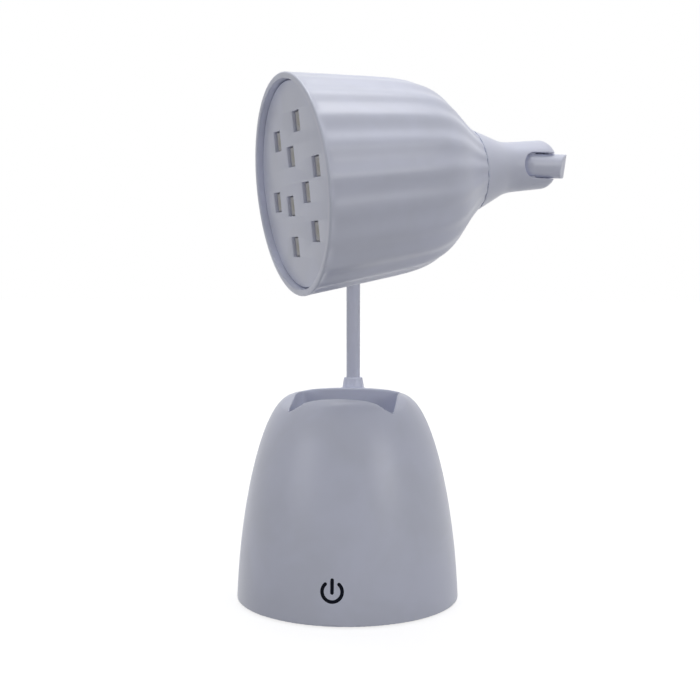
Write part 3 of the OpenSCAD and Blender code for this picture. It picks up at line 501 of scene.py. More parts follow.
ink = plastic("mark_print", (0.004, 0.005, 0.012), 0.45, grain=0.3, gloss_dip=0.04, tone=0.2, ior=1.15)
mark = piece("power_print", points, faces, ink, sharp=30)
cleaned(mark.data, weld=False)
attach(mark, "base")
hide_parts("power_mark")


# Lower ferrule: a small turned white collar on the crown. Its thread goes down through the shell
# into a washer and a nut, and the gooseneck is pressed into its mouth.
def new_tree(name, inputs):
    """A geometry node tree with these inputs and a finish, and the wire of its first input."""
    tree = bpy.data.node_groups.new(name, "GeometryNodeTree")
    for label, kind in inputs + [("Finish", "Material")]:
        tree.interface.new_socket(name=label, in_out="INPUT", socket_type="NodeSocket" + kind)
    tree.interface.new_socket(name="Piece", in_out="OUTPUT", socket_type="NodeSocketGeometry")
    return tree, Wire(tree).node("NodeGroupInput", out=inputs[0][0])


def end_tree(given, geometry):
    """Makes the geometry real, gives it the finish and sends it out."""
    real = given.node("GeometryNodeRealizeInstances", None, {"Geometry": geometry})
    done = given.node("GeometryNodeSetMaterial", None, {"Geometry": real, "Material": given.other("Finish")})
    given.node("NodeGroupOutput", None, {"Piece": done})


def lathe_tree():
    """Spins a line of (radius, 0, height) points round Z and presses flutes in where it says."""
    tree, given = new_tree("lathe", [("Outline", "Geometry"), ("Flutes", "Int"), ("Steps", "Int"),
                                     ("Depth", "Float"), ("Full radius", "Float")])
    n = Wire(tree)
    rows = n.node("GeometryNodeAttributeDomainSize", None, {"Geometry": given}, out="Point Count")
    wide = given.other("Flutes") * given.other("Steps") + 1
    sheet = n.node("GeometryNodeMeshGrid", None,
                   {"Size X": 1.0, "Size Y": 1.0, "Vertices X": wide, "Vertices Y": rows}, out="Mesh")
    place = n.node("GeometryNodeInputPosition")
    flat = n.node("ShaderNodeSeparateXYZ", None, {0: place})
    row = n.maths("ROUND", (flat.other("Y") + 0.5) * (rows - 1))
    turn = (flat.other("X") + 0.5) * math.tau
    spot = n.node("GeometryNodeSampleIndex", {"data_type": "FLOAT_VECTOR"},
                  {"Geometry": given, "Value": n.node("GeometryNodeInputPosition"), "Index": row})
    spot = n.node("ShaderNodeSeparateXYZ", None, {0: spot})
    press = n.node("GeometryNodeInputNamedAttribute", {"data_type": "FLOAT"}, {"Name": "press"},
                   out="Attribute")
    press = n.node("GeometryNodeSampleIndex", {"data_type": "FLOAT"},
                   {"Geometry": given, "Value": press, "Index": row})
    wave = 0.5 + 0.5 * n.maths("COSINE", turn * given.other("Flutes"))
    radius = spot * (1 - press * wave * given.other("Depth") / given.other("Full radius"))
    where = n.node("ShaderNodeCombineXYZ", None,
                   {"X": radius * n.maths("COSINE", turn), "Y": radius * n.maths("SINE", turn),
                    "Z": spot.other("Z")})
    shaped = n.node("GeometryNodeSetPosition", None, {"Geometry": sheet, "Position": where})
    end_tree(given, n.node("GeometryNodeMergeByDistance", None, {"Geometry": shaped, "Distance": 1e-4}))
    return tree


def grown(name, mesh, tree, values):
    """The plain mesh that a geometry node tree makes from a starting mesh."""
    start = bpy.data.objects.new(name, mesh)
    bpy.context.scene.collection.objects.link(start)
    maker = start.modifiers.new("maker", "NODES")
    maker.node_group = tree
    keys = {item.name: item.identifier for item in tree.interface.items_tree if item.in_out == "INPUT"}
    for label, value in values.items():
        maker[keys[label]] = value
    deps = bpy.context.evaluated_depsgraph_get()
    made = bpy.data.meshes.new_from_object(start.evaluated_get(deps))
    bpy.data.objects.remove(start)
    return cleaned(made)


LATHE = lathe_tree()


def turned(name, outline, look, place=Matrix.Identity(4), press=None, flutes=1, steps=64, depth=0.0,
           full=1.0, sharp=40):
    line = bpy.data.meshes.new(name)
    line.from_pydata([(r, 0, h) for r, h in outline], [(i, i + 1) for i in range(len(outline) - 1)], [])
    marks = line.attributes.new("press", "FLOAT", "POINT")
    marks.data.foreach_set("value", press if press is not None else [0.0] * len(outline))
    made = grown(name, line, LATHE, {"Flutes": flutes, "Steps": steps, "Depth": depth,
                                     "Full radius": full, "Finish": look})
    return stand(name, made, look, place, sharp)


def eased(corners, radius, steps=4):
    """An outline with each inner corner rounded; corners are (radius, height)."""
    out = [corners[0]]
    for before, at, after in zip(corners[:-2], corners[1:-1], corners[2:]):
        a, p, b = (np.array(v[:2], float) for v in (before, at, after))
        r = at[2] if len(at) > 2 else radius
        u, v = (a - p) / np.hypot(*(a - p)), (b - p) / np.hypot(*(b - p))
        reach = min(r, 0.45 * np.hypot(*(a - p)), 0.45 * np.hypot(*(b - p)))
        for k in np.linspace(0, 1, steps + 1):
            q = (1 - k) ** 2 * (p + u * reach) + 2 * k * (1 - k) * p + k * k * (p + v * reach)
            out.append(tuple(q))
    return out + [corners[-1][:2]]


SLEEVE_R, CORE_R, SEAT = 3.0, 1.8, 5
FERRULE_TOP = 93.1
ANCHOR_WASHER, ANCHOR_NUT, THREAD_PAST = 1.2, 4, 1.5
THREAD_END = ANCHOR_Z - ANCHOR_WASHER - ANCHOR_NUT - THREAD_PAST
ferrule = turned("stem_ferrule", eased([
    (3.4, THREAD_END + 2), (3.5, THREAD_END + 2.5), (3.5, COLLAR_Z), (4.7, COLLAR_Z, 0.1),
    (4.65, COLLAR_Z + 0.9), (4.2, FERRULE_TOP - 0.9), (4.1, FERRULE_TOP - 0.3), (3.6, FERRULE_TOP),
    (3.1, FERRULE_TOP), (3.05, FERRULE_TOP - 0.4), (3.05, FERRULE_TOP - SEAT), (1.9, FERRULE_TOP - SEAT),
    (1.9, THREAD_END + 0.1), (3.2, THREAD_END), (3.4, THREAD_END + 2)], 0.25),
    white_plastic, Matrix.Translation((0, STEM_Y, 0)), steps=72)
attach(ferrule, "base")
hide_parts("lower_ferrule")


# Foot pad: a disc of soft dark rubber stuck under the floor plate, with a rounded lower edge. The
# lamp stands on it, and it hides the screws of the floor plate.
PAD_INSET = 1.2
PAD_R = FLOOR_R - PAD_INSET
rubber = plastic("foot_rubber", (0.085, 0.085, 0.09), 0.78, grain=3.0, gloss_dip=0.05, tone=0.12)
pad = turned("foot_disc", eased([(0, 0), (PAD_R, 0, 0.4), (PAD_R, FLOOR_Z, 0.1), (0, FLOOR_Z)], 0.2),
             rubber, steps=128)
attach(pad, "base")
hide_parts("foot_pad")


# Gooseneck: a white soft sleeve over a steel core. It rises behind the slot, bends over to the
# right, and turns forward into the knuckle. It is drawn as one tube cut between the places that bend.
STEM_LEN = 51.8
ARC_START = FERRULE_TOP + STEM_LEN
BEND_R, HEADING, RUN, TIP_R, TIP_TURN, TIP_LEN = 38, 8.4, 17.7, 22, 73.2, 20
ZONE, ZONE_LIFT, ZONE_GAP, LINE_STEP = 14, 0.8, 3, 0.4
HINGE_1 = FERRULE_TOP + ZONE_LIFT + ZONE / 2
HINGE_2 = HINGE_1 + ZONE + ZONE_GAP
ELBOW_AT = 11.9


def shift(x, y, z):
    return Matrix.Translation((x, y, z))


def turn(degrees, axis):
    return Matrix.Rotation(math.radians(degrees), 4, axis)


UPPER = shift(0, STEM_Y, ARC_START) @ turn(HEADING, "Z") @ shift(BEND_R, 0, 0)
RUN_START = UPPER @ turn(90, "Y") @ shift(-BEND_R, 0, 0)
TIP = RUN_START @ shift(0, -TIP_R, RUN)
ARM_START = TIP @ turn(TIP_TURN, "X") @ shift(0, TIP_R, 0)
KNUCKLE = ARM_START @ shift(0, 0, TIP_LEN) @ turn(90, "Z") @ turn(-90, "X") @ shift(-ELBOW_AT, 0, 0)
BEND_LEN = BEND_R * math.pi / 2
TIP_BEND_LEN = TIP_R * math.radians(TIP_TURN)


def route(s):
    """The place on the gooseneck's middle line, s millimetres from where the upper bend starts."""
    if s < 0:
        return Vector((0, STEM_Y, ARC_START + s))
    if s < BEND_LEN:
        return (UPPER @ turn(math.degrees(s / BEND_R), "Y") @ shift(-BEND_R, 0, 0)).translation
    s -= BEND_LEN
    if s < RUN:
        return (RUN_START @ shift(0, 0, s)).translation
    s -= RUN
    if s < TIP_BEND_LEN:
        return (TIP @ turn(math.degrees(s / TIP_R), "X") @ shift(0, TIP_R, 0)).translation
    return (ARM_START @ shift(0, 0, s - TIP_BEND_LEN)).translation


RUN_AT = BEND_LEN
TIP_AT = BEND_LEN + RUN
STUB_LEN, SEAT_SPARE = 15.5, 0.1
SLEEVE_END = TIP_AT + TIP_BEND_LEN + TIP_LEN - STUB_LEN + SEAT - SEAT_SPARE
zones = [HINGE_1 - ARC_START, HINGE_2 - ARC_START, BEND_R * math.radians(45), RUN_AT + RUN / 2,
         TIP_AT + TIP_BEND_LEN / 2]
cuts = ([FERRULE_TOP - SEAT - ARC_START] + [(a + b) / 2 for a, b in zip(zones[:-1], zones[1:])]
        + [SLEEVE_END])


def hose_tree():
    """Sweeps a round section along a line."""
    tree, given = new_tree("hose", [("Line", "Geometry"), ("Radius", "Float"), ("Sides", "Int")])
    n = Wire(tree)
    path = n.node("GeometryNodeMeshToCurve", None, {"Mesh": given})
    section = n.node("GeometryNodeCurvePrimitiveCircle", None,
                     {"Radius": given.other("Radius"), "Resolution": given.other("Sides")})
    end_tree(given, n.node("GeometryNodeCurveToMesh", None,
                           {"Curve": path, "Profile Curve": section, "Fill Caps": True}))
    return tree


HOSE = hose_tree()
sleeve_look = plastic("sleeve", (0.75, 0.77, 0.90), 0.46, grain=1.2, gloss_dip=0.05)
bodies = ["base", "arm_1", "arm_2", "arm_3", "arm_4", "arm_5"]
for i, (zone, start, end) in enumerate(zip(zones, cuts[:-1], cuts[1:])):
    count = max(8, round((end - start) / LINE_STEP))
    spots = [route(start + (end - start) * k / count) for k in range(count + 1)]
    line = bpy.data.meshes.new("gooseneck_line")
    line.from_pydata([tuple(p) for p in spots], [(k, k + 1) for k in range(count)], [])
    name = f"gooseneck_{i + 1}"
    tube = grown(name, line, HOSE, {"Radius": SLEEVE_R, "Sides": 40, "Finish": sleeve_look})
    length = stand(name, tube, sleeve_look, sharp=50)
    bodies[i + 1]
    tuple(route(zone - ZONE / 2) * MM)
    tuple(route(zone + ZONE / 2) * MM)
    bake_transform(length)
    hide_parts(*{0: ("sleeve_foot", "bend_sleeve_1")}.get(i, (f"sleeve_{i}", f"bend_sleeve_{i + 1}")))
    if i == 4:
        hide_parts("sleeve_5")


# Knuckle arm: a white moulded rod that lies in the neck's groove and turns on two pins. Its end is
# cut at a slant, and the gooseneck goes into the round stub on its back.
ARM_R, STUB_R, ARM_LEN, ARM_FLAT = 4.9, 3.9, 15.95, 4.2
ARM_ROUND, STUB_ROUND, CORE_GAP, CORE_STOP = 0.3, 0.5, 0.1, 3
PIN_R, PRESS_FIT, LOOSE_FIT, WASHER_R, WASHER_GAP = 1.5, 0.01, 0.05, 2.3, 0.15
LEAD_R, LEAD_LOW, LEAD_PAST = 1.3, 0.8, 0.4
SLANT_ROLL, SLANT_AT, SLANT_TURN = 16, 15.6, 41.2
slant = turn(SLANT_ROLL, "X") @ shift(SLANT_AT, 0, 0) @ turn(-SLANT_TURN, "Z")
slant_at = np.array(slant.translation)
slant_way = np.array(slant.to_3x3() @ Vector((1, 0, 0)))


def arm_distance(x, y, z):
    bar = both_round(np.sqrt(np.minimum(x, 0) ** 2 + y * y + z * z) - ARM_R, x - ARM_LEN, ARM_ROUND)
    stub = both_round(rod(x - ELBOW_AT, z, STUB_R), np.maximum(-y, y - STUB_LEN), STUB_ROUND)
    d = np.minimum(bar, stub)
    cut = ((x - slant_at[0]) * slant_way[0] + (y - slant_at[1]) * slant_way[1]
           + (z - slant_at[2]) * slant_way[2])
    d = both_round(d, cut, ARM_ROUND)
    d = np.maximum(d, -np.maximum(rod(x, y, WASHER_R + WASHER_GAP), ARM_FLAT - np.abs(z)))
    seat = np.maximum(rod(x - ELBOW_AT, z, SLEEVE_R + LOOSE_FIT), STUB_LEN - SEAT - y)
    bore = np.maximum(rod(x - ELBOW_AT, z, CORE_R + CORE_GAP), CORE_STOP - y)
    lead = np.minimum(np.maximum(rod(x - ELBOW_AT, z, LEAD_R), LEAD_LOW - y),
                      np.maximum(rod(y, z, LEAD_R), x - ELBOW_AT + LEAD_PAST))
    pin = rod(x, y, PIN_R + PRESS_FIT)
    d = both_round(d, -seat, ARM_ROUND)
    return np.maximum(d, -np.minimum(np.minimum(bore, lead), pin))


points, faces = skin(arm_distance, lines((-5.3, 16.6, 0.26)), lines((-5.3, 16, 0.26)),
                     lines((-5.3, 5.3, 0.26)))
arm = piece("knuckle_bar", points, faces, white_plastic, KNUCKLE)
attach(arm, "arm_5")
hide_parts("knuckle_arm")


# Neck: a moulded white cone that runs into a round end with a groove for the knuckle arm. Its
# spigot goes through the end of the shade and is held by a nut inside.
SHADE_LEN, NECK_R, NECK_LEN, NECK_ROUND, NECK_TAPER = 76.6, 10.2, 37.4, 5.5, 0.3
SPIGOT_R, SPIGOT_LEN, SEAM_GAP, NECK_BORE, BORE_SHORT = 9, 8.7, 0.1, 6.5, 11
PIVOT_FROM_END = 11.8
PIVOT_T = SHADE_LEN + NECK_LEN - PIVOT_FROM_END
ARM_DROP, ARM_OFF, HEAD_PITCH, HEAD_TURN = 0.22, 4.6, 5.9, 3.8
GROOVE_GAP, GROOVE_ROUND, ROOM_SIDE, ROOM_GAP = 0.25, 0.2, 5.1, 0.4
GROOVE_R = ARM_R + GROOVE_GAP
LEAD_HOLE_R, LEAD_HOLE_HALF, PIN_COVER, PIN_END_GAP = 1.6, 8, 1.2, 0.2
PIN_OUT = math.sqrt((NECK_R - NECK_TAPER) ** 2 - ARM_OFF ** 2) - PIN_COVER - ARM_DROP
IN_HEAD = (turn(HEAD_TURN, "Z") @ shift(0, 0, ARM_DROP) @ turn(-HEAD_PITCH, "Y")
           @ shift(-PIVOT_T, ARM_OFF, 0))
HEAD = KNUCKLE @ IN_HEAD
RIM_R, SHADE_END_R, TAPER = 42.225, 9.6, 0.0928
SHADE_MID, SHADE_POWER = SHADE_LEN * 0.9078, 10.16


def shade_r(t):
    return SHADE_END_R + (RIM_R - TAPER * t - SHADE_END_R) / (1 + (t / SHADE_MID) ** SHADE_POWER)


SEAM_R = shade_r(SHADE_LEN)
NECK_START, NECK_END = SHADE_LEN + SEAM_GAP, SHADE_LEN + NECK_LEN
SPIGOT_AT = SHADE_LEN - SPIGOT_LEN
NECK_END_R = NECK_R - NECK_TAPER
neck_outline = eased([
    (0, SPIGOT_AT), (SPIGOT_R, SPIGOT_AT), (SPIGOT_R, NECK_START), (SEAM_R, NECK_START, 0.35),
    (NECK_R + 0.55, NECK_START + 13.1, 3.2), (NECK_R - 0.1, NECK_START + 17, 2),
    (NECK_END_R, NECK_END - NECK_ROUND)], 0.3, steps=8)[:-1]
for a in np.linspace(0, math.pi / 2, 16):
    neck_outline.append((NECK_END_R - NECK_ROUND * (1 - math.cos(a)),
                         NECK_END - NECK_ROUND + NECK_ROUND * math.sin(a)))
neck_hull = turned_distance(neck_outline + [(0, NECK_END)], 0.15)
to_knuckle = np.array(IN_HEAD)


def neck_distance(t, b, c):
    x, y, z = (to_knuckle[k, 0] * t + to_knuckle[k, 1] * b + to_knuckle[k, 2] * c + to_knuckle[k, 3]
               for k in range(3))
    d = neck_hull(np.hypot(b, c), t)
    groove = np.maximum(np.where(x > 0, np.abs(z), np.hypot(x, z)) - GROOVE_R, y - GROOVE_R)
    room = np.maximum(np.maximum(ELBOW_AT - STUB_R - ROOM_SIDE - x, -y), np.abs(z) - STUB_R - ROOM_GAP)
    d = both_round(d, -np.minimum(groove, room), GROOVE_ROUND)
    washers = np.maximum(rod(x, y, WASHER_R + WASHER_GAP), np.abs(z) - GROOVE_R)
    pins = np.maximum(rod(x, y, PIN_R + LOOSE_FIT), np.abs(z) - PIN_OUT - PIN_END_GAP)
    bore = np.maximum(np.hypot(b, c) - NECK_BORE, t - PIVOT_T + BORE_SHORT)
    lead = np.maximum(rod(y, z, LEAD_HOLE_R), np.abs(x + LEAD_HOLE_HALF) - LEAD_HOLE_HALF)
    return np.maximum(d, -np.minimum(np.minimum(washers, pins), np.minimum(bore, lead)))


across = lines((-17.5, -11, 0.5), (-11, 11, 0.3), (11, 17.5, 0.5))
points, faces = skin(neck_distance, lines((67, 94, 0.5), (94, 114.7, 0.3)), across, across)
neck = piece("neck_cone", points, faces, white_plastic, HEAD)
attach(neck, "head")
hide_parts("neck")


# Shade: a thin moulded bell of the same plastic, fluted from its rim to the neck in 22 soft waves.
# Its rim is plain and rounded, and a ledge inside carries the face plate.
FLUTES, FLUTE_DEPTH, SHADE_WALL = 22, 0.85, 1.6
END_WALL, END_STEP, LEDGE, LEDGE_END, FACE_RECESS, FACE_T = 2.2, 0.25, 1.8, 1.9, 2.5, 2
FACE_BACK = FACE_RECESS + FACE_T


def shade_in(t):
    return shade_r(t) * (1 - FLUTE_DEPTH / RIM_R) - SHADE_WALL


RIM_ROUND, RIM_IN_ROUND, PLAIN_RIM, PRESS_POWER = 0.75, 0.35, 2.5, 1.5
outer_t = [SHADE_LEN * (1 - (1 - k) ** 1.4) for k in np.linspace(0, 1, 90)]
outer_t = [t for t in outer_t if t > RIM_ROUND + 0.3][::-1]
outline, press = [(SEAM_R - END_STEP, SHADE_LEN)], [1.0]
outline += [(shade_r(t), t) for t in outer_t[1:]]
press += [min(1.0, (t / PLAIN_RIM) ** PRESS_POWER) for t in outer_t[1:]]
for a in np.linspace(0, math.pi / 2, 6):
    outline.append((shade_r(0) - RIM_ROUND * (1 - math.cos(a)), RIM_ROUND * (1 - math.sin(a))))
    press.append(0.0)
rim_in = shade_in(0) + 0.05
for a in np.linspace(0, math.pi / 2, 4):
    outline.append((rim_in + RIM_IN_ROUND * (1 - math.sin(a)), RIM_IN_ROUND * (1 - math.cos(a))))
    press.append(0.0)
ledge_r = shade_in(FACE_BACK) - LEDGE
outline += [(shade_in(t), t) for t in (1.2, 2.4, 3.6, FACE_BACK)]
outline += [(shade_in(FACE_BACK), FACE_BACK + 0.1), (ledge_r, FACE_BACK + 0.1),
            (ledge_r, FACE_BACK + LEDGE_END), (shade_in(FACE_BACK + 2), FACE_BACK + LEDGE_END)]
inner_end = SHADE_LEN - END_WALL
outline += [(shade_in(t), t) for t in inner_end * (1 - (1 - np.linspace(0.06, 1, 28)) ** 1.4)]
hole_r = SPIGOT_R + 0.15
outline += [(hole_r, inner_end), (hole_r, SHADE_LEN), (SEAM_R - END_STEP, SHADE_LEN)]
press += [0.0] * (len(outline) - len(press))
press[-1] = 1.0
shade = turned("fluted_shade", outline, white_plastic, HEAD @ turn(90, "Y"), press=press, flutes=FLUTES,
               steps=12, depth=FLUTE_DEPTH, full=RIM_R, sharp=50)
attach(shade, "head")
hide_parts("head_shade")


# Face plate: a flat white disc set into the rim, with nine square windows for the lamp chips. The
# windows' edges are rounded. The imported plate's posts and hooks behind it are out of sight, and left out.
FACE_GAP, FACE_EDGE = 0.3, 0.35
FACE_R = shade_in(FACE_BACK) - FACE_GAP
WINDOW, WINDOW_CORNER, WINDOW_TURN = 7.7, 0.35, 47.25
OUTER_RING, INNER_RING = 0.58, 0.265
ring_places = [(OUTER_RING * RIM_R, 60 * i + WINDOW_TURN) for i in range(6)]
inner_places = [(INNER_RING * RIM_R, 120 * i + WINDOW_TURN + 30) for i in range(3)]
windows = [(r * math.cos(math.radians(a)), r * math.sin(math.radians(a)))
           for r, a in ring_places + inner_places]


def rounded_square(cx, cy, side, r, steps=4):
    out = []
    for k, (sx, sy) in enumerate(((1, 1), (-1, 1), (-1, -1), (1, -1))):
        for a in np.radians(np.linspace(0, 90, steps + 1) + 90 * k):
            out.append((cx + sx * (side / 2 - r) + r * math.cos(a),
                        cy + sy * (side / 2 - r) + r * math.sin(a)))
    return out


disc = [(FACE_R * math.cos(a), FACE_R * math.sin(a)) for a in np.linspace(0, math.tau, 193)[:-1]]
curve = bpy.data.curves.new("face_plate", "CURVE")
curve.dimensions, curve.fill_mode = "2D", "BOTH"
for loop in [disc] + [rounded_square(x, y, WINDOW, WINDOW_CORNER)[::-1] for x, y in windows]:
    spline = curve.splines.new("POLY")
    spline.points.add(len(loop) - 1)
    spline.points.foreach_set("co", np.array([(x, y, 0, 1) for x, y in loop], np.float32).ravel())
    spline.use_cyclic_u = True
curve.extrude = FACE_T / 2 - FACE_EDGE
curve.bevel_depth, curve.bevel_resolution, curve.offset = FACE_EDGE, 3, -FACE_EDGE
shape = bpy.data.objects.new("face_shape", curve)
bpy.context.scene.collection.objects.link(shape)
deps = bpy.context.evaluated_depsgraph_get()
plate_mesh = bpy.data.meshes.new_from_object(shape.evaluated_get(deps))
bpy.data.objects.remove(shape)
cleaned(plate_mesh)
# The disc is drawn in X and Y, and goes to the head's Y and Z at the plate's middle
FLAT_TO_HEAD = Matrix(((0, 0, 1, 0), (1, 0, 0, 0), (0, 1, 0, 0), (0, 0, 0, 1)))
plate = stand("window_plate", plate_mesh, white_plastic,
              HEAD @ shift(FACE_RECESS + FACE_T / 2, 0, 0) @ FLAT_TO_HEAD, sharp=30)
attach(plate, "head")
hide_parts("face_plate")


# Lamp chips: nine square tiles behind the windows, each with a shallow dish of pale resin over its
# diodes. They are soldered to the lamp board.
CHIP, CHIP_FRONT, CHIP_BACK = 7.2, FACE_RECESS + 1.3, FACE_RECESS + 3.5
CHIP_ROUND, DISH_R, DISH_DEEP = 0.3, 2.8, 0.35
chip_steps = np.concatenate([[-CHIP / 2, -CHIP / 2 + 0.12, -CHIP / 2 + CHIP_ROUND],
                             np.linspace(-CHIP / 2 + 0.6, CHIP / 2 - 0.6, 21),
                             [CHIP / 2 - CHIP_ROUND, CHIP / 2 - 0.12, CHIP / 2]])
m = len(chip_steps)
chip_points, chip_faces = [], []
for x in chip_steps:
    for y in chip_steps:
        over = max(0, (max(abs(x), abs(y)) - CHIP / 2 + CHIP_ROUND) / CHIP_ROUND)
        drop = CHIP_ROUND * (1 - math.sqrt(1 - over ** 2))
        r = math.hypot(x, y)
        dish = DISH_DEEP * (1 - float(smooth((r - DISH_R + 0.5) / 0.6)))
        chip_points.append((x, y, drop + dish))
for i in range(m - 1):
    for j in range(m - 1):
        q = i * m + j
        chip_faces.append((q, q + 1, q + m + 1, q + m))
ring = ([i * m for i in range(m)] + [(m - 1) * m + j for j in range(1, m)]
        + [i * m + m - 1 for i in range(m - 2, -1, -1)] + list(range(m - 2, 0, -1)))
first = len(chip_points)
chip_points += [(chip_points[q][0], chip_points[q][1], CHIP_BACK - CHIP_FRONT) for q in ring]
for k in range(len(ring)):
    j = (k + 1) % len(ring)
    chip_faces.append((ring[k], ring[j], first + j, first + k))
chip_faces.append(tuple(first + k for k in range(len(ring)))[::-1])
chip_mesh = bpy.data.meshes.new("chip")
chip_mesh.from_pydata(chip_points, [], chip_faces)
chip_map = chip_mesh.uv_layers.new(name="chip_map")
for corner in chip_mesh.loops:
    x, y = chip_points[corner.vertex_index][:2]
    chip_map.data[corner.index].uv = (0.5 + x / CHIP, 0.5 + y / CHIP)


def chip_tree():
    """Sets one tile on each point of the given mesh."""
    tree, given = new_tree("chips", [("Places", "Geometry"), ("Tile", "Object")])
    n = Wire(tree)
    tile = n.node("GeometryNodeObjectInfo", None, {"Object": given.other("Tile")}, out="Geometry")
    dots = n.node("GeometryNodeMeshToPoints", None, {"Mesh": given})
    end_tree(given, n.node("GeometryNodeInstanceOnPoints", None, {"Points": dots, "Instance": tile}))
    return tree


def chip_finish():
    """White tile with a pale resin dish, from the tile's own map."""
    look, n = new_look("lamp_chip")
    spot = n.node("ShaderNodeUVMap", {"uv_map": "chip_map"})
    flat = n.node("ShaderNodeSeparateXYZ", None, {0: spot})
    u, v = flat - 0.5, flat.other("Y") - 0.5
    out = n.maths("SQRT", u * u + v * v)
    where = n.node("ShaderNodeTexCoord", out="Object")
    cloud = n.node("ShaderNodeTexNoise", None, {"Vector": where, "Scale": 900.0, "Detail": 3.0})
    resin = 1 - (out + cloud * 0.01).step(0.345, 0.372)
    diodes = 1 - n.maths("ABSOLUTE", n.maths("ABSOLUTE", u) - 0.13).step(0.03, 0.06)
    diodes = diodes * (1 - n.maths("ABSOLUTE", v).step(0.10, 0.13)) * 0.35
    tone = n.node("ShaderNodeMix", {"data_type": "RGBA"},
                  {0: resin, 6: (0.60, 0.59, 0.59, 1), 7: (0.56, 0.54, 0.49, 1)}, out=2)
    tone = n.node("ShaderNodeMix", {"data_type": "RGBA"},
                  {0: diodes * resin, 6: tone, 7: (0.42, 0.37, 0.22, 1)}, out=2)
    bump = n.node("ShaderNodeBump", None, {"Strength": 0.2, "Distance": 0.00003, "Height": cloud})
    shader = n.node("ShaderNodeBsdfPrincipled", None,
                    {"Base Color": tone, "Roughness": 0.55 - resin * 0.3 + cloud * 0.08, "Normal": bump})
    n.node("ShaderNodeOutputMaterial", None, {"Surface": shader})
    return look


chip_look = chip_finish()
tile = bpy.data.objects.new("tile", chip_mesh)
bpy.context.scene.collection.objects.link(tile)
places = bpy.data.meshes.new("chip_places")
places.from_pydata([(x, y, 0) for x, y in windows], [], [])
chips_mesh = grown("lamp_tiles", places, chip_tree(), {"Tile": tile, "Finish": chip_look})
bpy.data.objects.remove(tile)
chips = stand("lamp_tiles", chips_mesh, chip_look, HEAD @ shift(CHIP_FRONT, 0, 0) @ FLAT_TO_HEAD, sharp=50)
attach(chips, "head")
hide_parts("led_chips")


# Inside parts: the boards, the cell, the screws, the leads, the steel core and the pins are kept as
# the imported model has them, each with its own finish.
def metal(name, colour, rough, grain_way=(1, 1, 30), grain=700.0):
    """Plated or drawn steel: a fine streaked grain and faint duller patches."""
    look, n = new_look(name)
    where = n.node("ShaderNodeTexCoord", out="Object")
    stretched = n.node("ShaderNodeMapping", None, {"Vector": where, "Scale": grain_way})
    streak = n.node("ShaderNodeTexNoise", None, {"Vector": stretched, "Scale": grain, "Detail": 3.0})
    patch = n.node("ShaderNodeTexNoise", None,
                   {"Vector": where, "Scale": 160.0, "Detail": 4.0}).step(0.4, 0.7)
    tone = n.node("ShaderNodeMix", {"data_type": "RGBA"},
                  {0: patch, 6: colour + (1,), 7: tuple(c * 0.78 for c in colour) + (1,)}, out=2)
    bump = n.node("ShaderNodeBump", None, {"Strength": 0.3, "Distance": 0.00002, "Height": streak})
    shader = n.node("ShaderNodeBsdfPrincipled", None,
                    {"Base Color": tone, "Metallic": 1.0, "Roughness": rough + patch * 0.12 + streak * 0.08,
                     "Normal": bump})
    n.node("ShaderNodeOutputMaterial", None, {"Surface": shader})
    return look


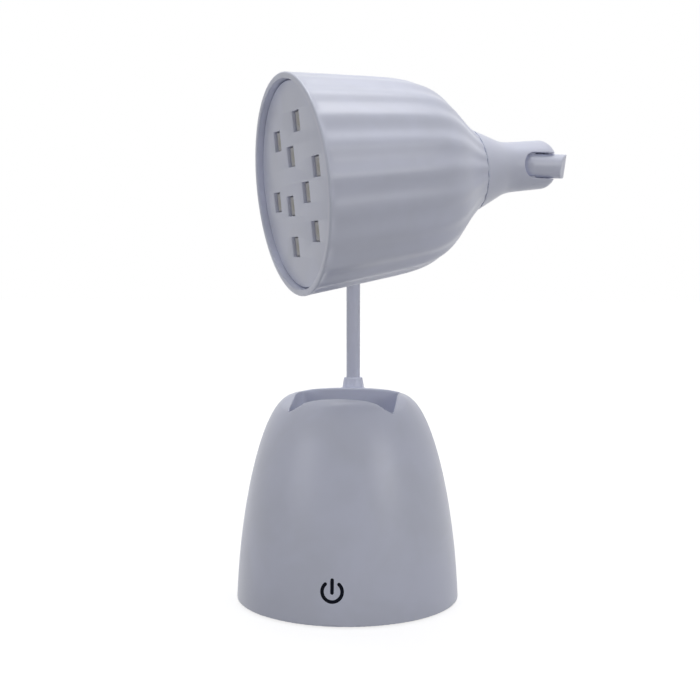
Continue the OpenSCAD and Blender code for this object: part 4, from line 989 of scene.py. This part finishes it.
def board(name, mask, copper, scale):
    """Printed circuit: solder mask over a faint pattern of tracks, with tinned pads."""
    look, n = new_look(name)
    where = n.node("ShaderNodeTexCoord", out="Object")
    cells = n.node("ShaderNodeTexVoronoi", {"feature": "DISTANCE_TO_EDGE", "distance": "EUCLIDEAN"},
                   {"Vector": where, "Scale": scale, "Randomness": 0.35})
    tracks = 1 - cells.step(0.03, 0.06)
    pads = 1 - n.node("ShaderNodeTexVoronoi", {"feature": "F1"},
                      {"Vector": where, "Scale": scale * 0.9, "Randomness": 0.5}).step(0.10, 0.13)
    grain = n.node("ShaderNodeTexNoise", None, {"Vector": where, "Scale": 1800.0, "Detail": 2.0})
    pale = tuple(min(1, c * 1.5) for c in mask) + (1,)
    tone = n.node("ShaderNodeMix", {"data_type": "RGBA"},
                  {0: tracks * 0.6 + grain * 0.1, 6: mask + (1,), 7: pale}, out=2)
    tone = n.node("ShaderNodeMix", {"data_type": "RGBA"}, {0: pads, 6: tone, 7: copper + (1,)}, out=2)
    bump = n.node("ShaderNodeBump", None, {"Strength": 0.4, "Distance": 0.00005,
                                           "Height": tracks + pads + grain * 0.2})
    shader = n.node("ShaderNodeBsdfPrincipled", None,
                    {"Base Color": tone, "Metallic": pads * 0.9, "Roughness": 0.42 - pads * 0.1,
                     "Normal": bump})
    n.node("ShaderNodeOutputMaterial", None, {"Surface": shader})
    return look


inner_plastic = plastic("inner_plastic", (0.55, 0.56, 0.60), 0.5, grain=1.5, gloss_dip=0.06)
dark_plastic = plastic("dark_plastic", (0.03, 0.03, 0.034), 0.45, grain=2.0, gloss_dip=0.08, tone=0.15)
wire_skin = plastic("wire_skin", (0.62, 0.62, 0.62), 0.5, grain=1.0)
battery_wire = plastic("battery_wire", (0.42, 0.02, 0.02), 0.45, grain=1.0, tone=0.08)
cell_wrap = plastic("cell_wrap", (0.04, 0.16, 0.42), 0.28, grain=0.8, gloss_dip=0.06, tone=0.08)
washer_look = plastic("friction_washer", (0.60, 0.62, 0.72), 0.5, grain=0.8)
steel = metal("steel", (0.60, 0.61, 0.63), 0.28)
core_steel = metal("core_steel", (0.50, 0.50, 0.51), 0.36, grain_way=(1, 1, 8))
ballast_look = metal("ballast_steel", (0.30, 0.31, 0.33), 0.5, grain_way=(4, 30, 4), grain=300.0)
green_board = board("circuit_board", (0.015, 0.11, 0.05), (0.62, 0.60, 0.55), 420.0)
lamp_board = board("lamp_board", (0.66, 0.67, 0.69), (0.70, 0.66, 0.56), 300.0)

finishes = {
    inner_plastic: ("base_floor", "neck_nut"), dark_plastic: ("battery_cradle", "board_parts", "touch_pad"),
    cell_wrap: ("battery_cell",), battery_wire: ("battery_leads",),
    wire_skin: ("touch_lead", "lamp_lead", "head_lead"), washer_look: ("hinge_washers",),
    steel: ("floor_screws", "ballast_screws", "board_screws", "usb_socket", "anchor_washer", "anchor_nut",
            "hinge_pins", "led_screws"),
    core_steel: ("core_foot", "core_1", "core_2", "core_3", "core_4", "core_5"),
    ballast_look: ("ballast_plate",), green_board: ("main_board", "touch_board"), lamp_board: ("led_board",)}
for look, names in finishes.items():
    for name in names:
        for k in range(max(1, len(cad[name].material_slots))):
            if not cad[name].material_slots:
                cad[name].data.materials.append(look)
            cad[name].material_slots[k].material = look
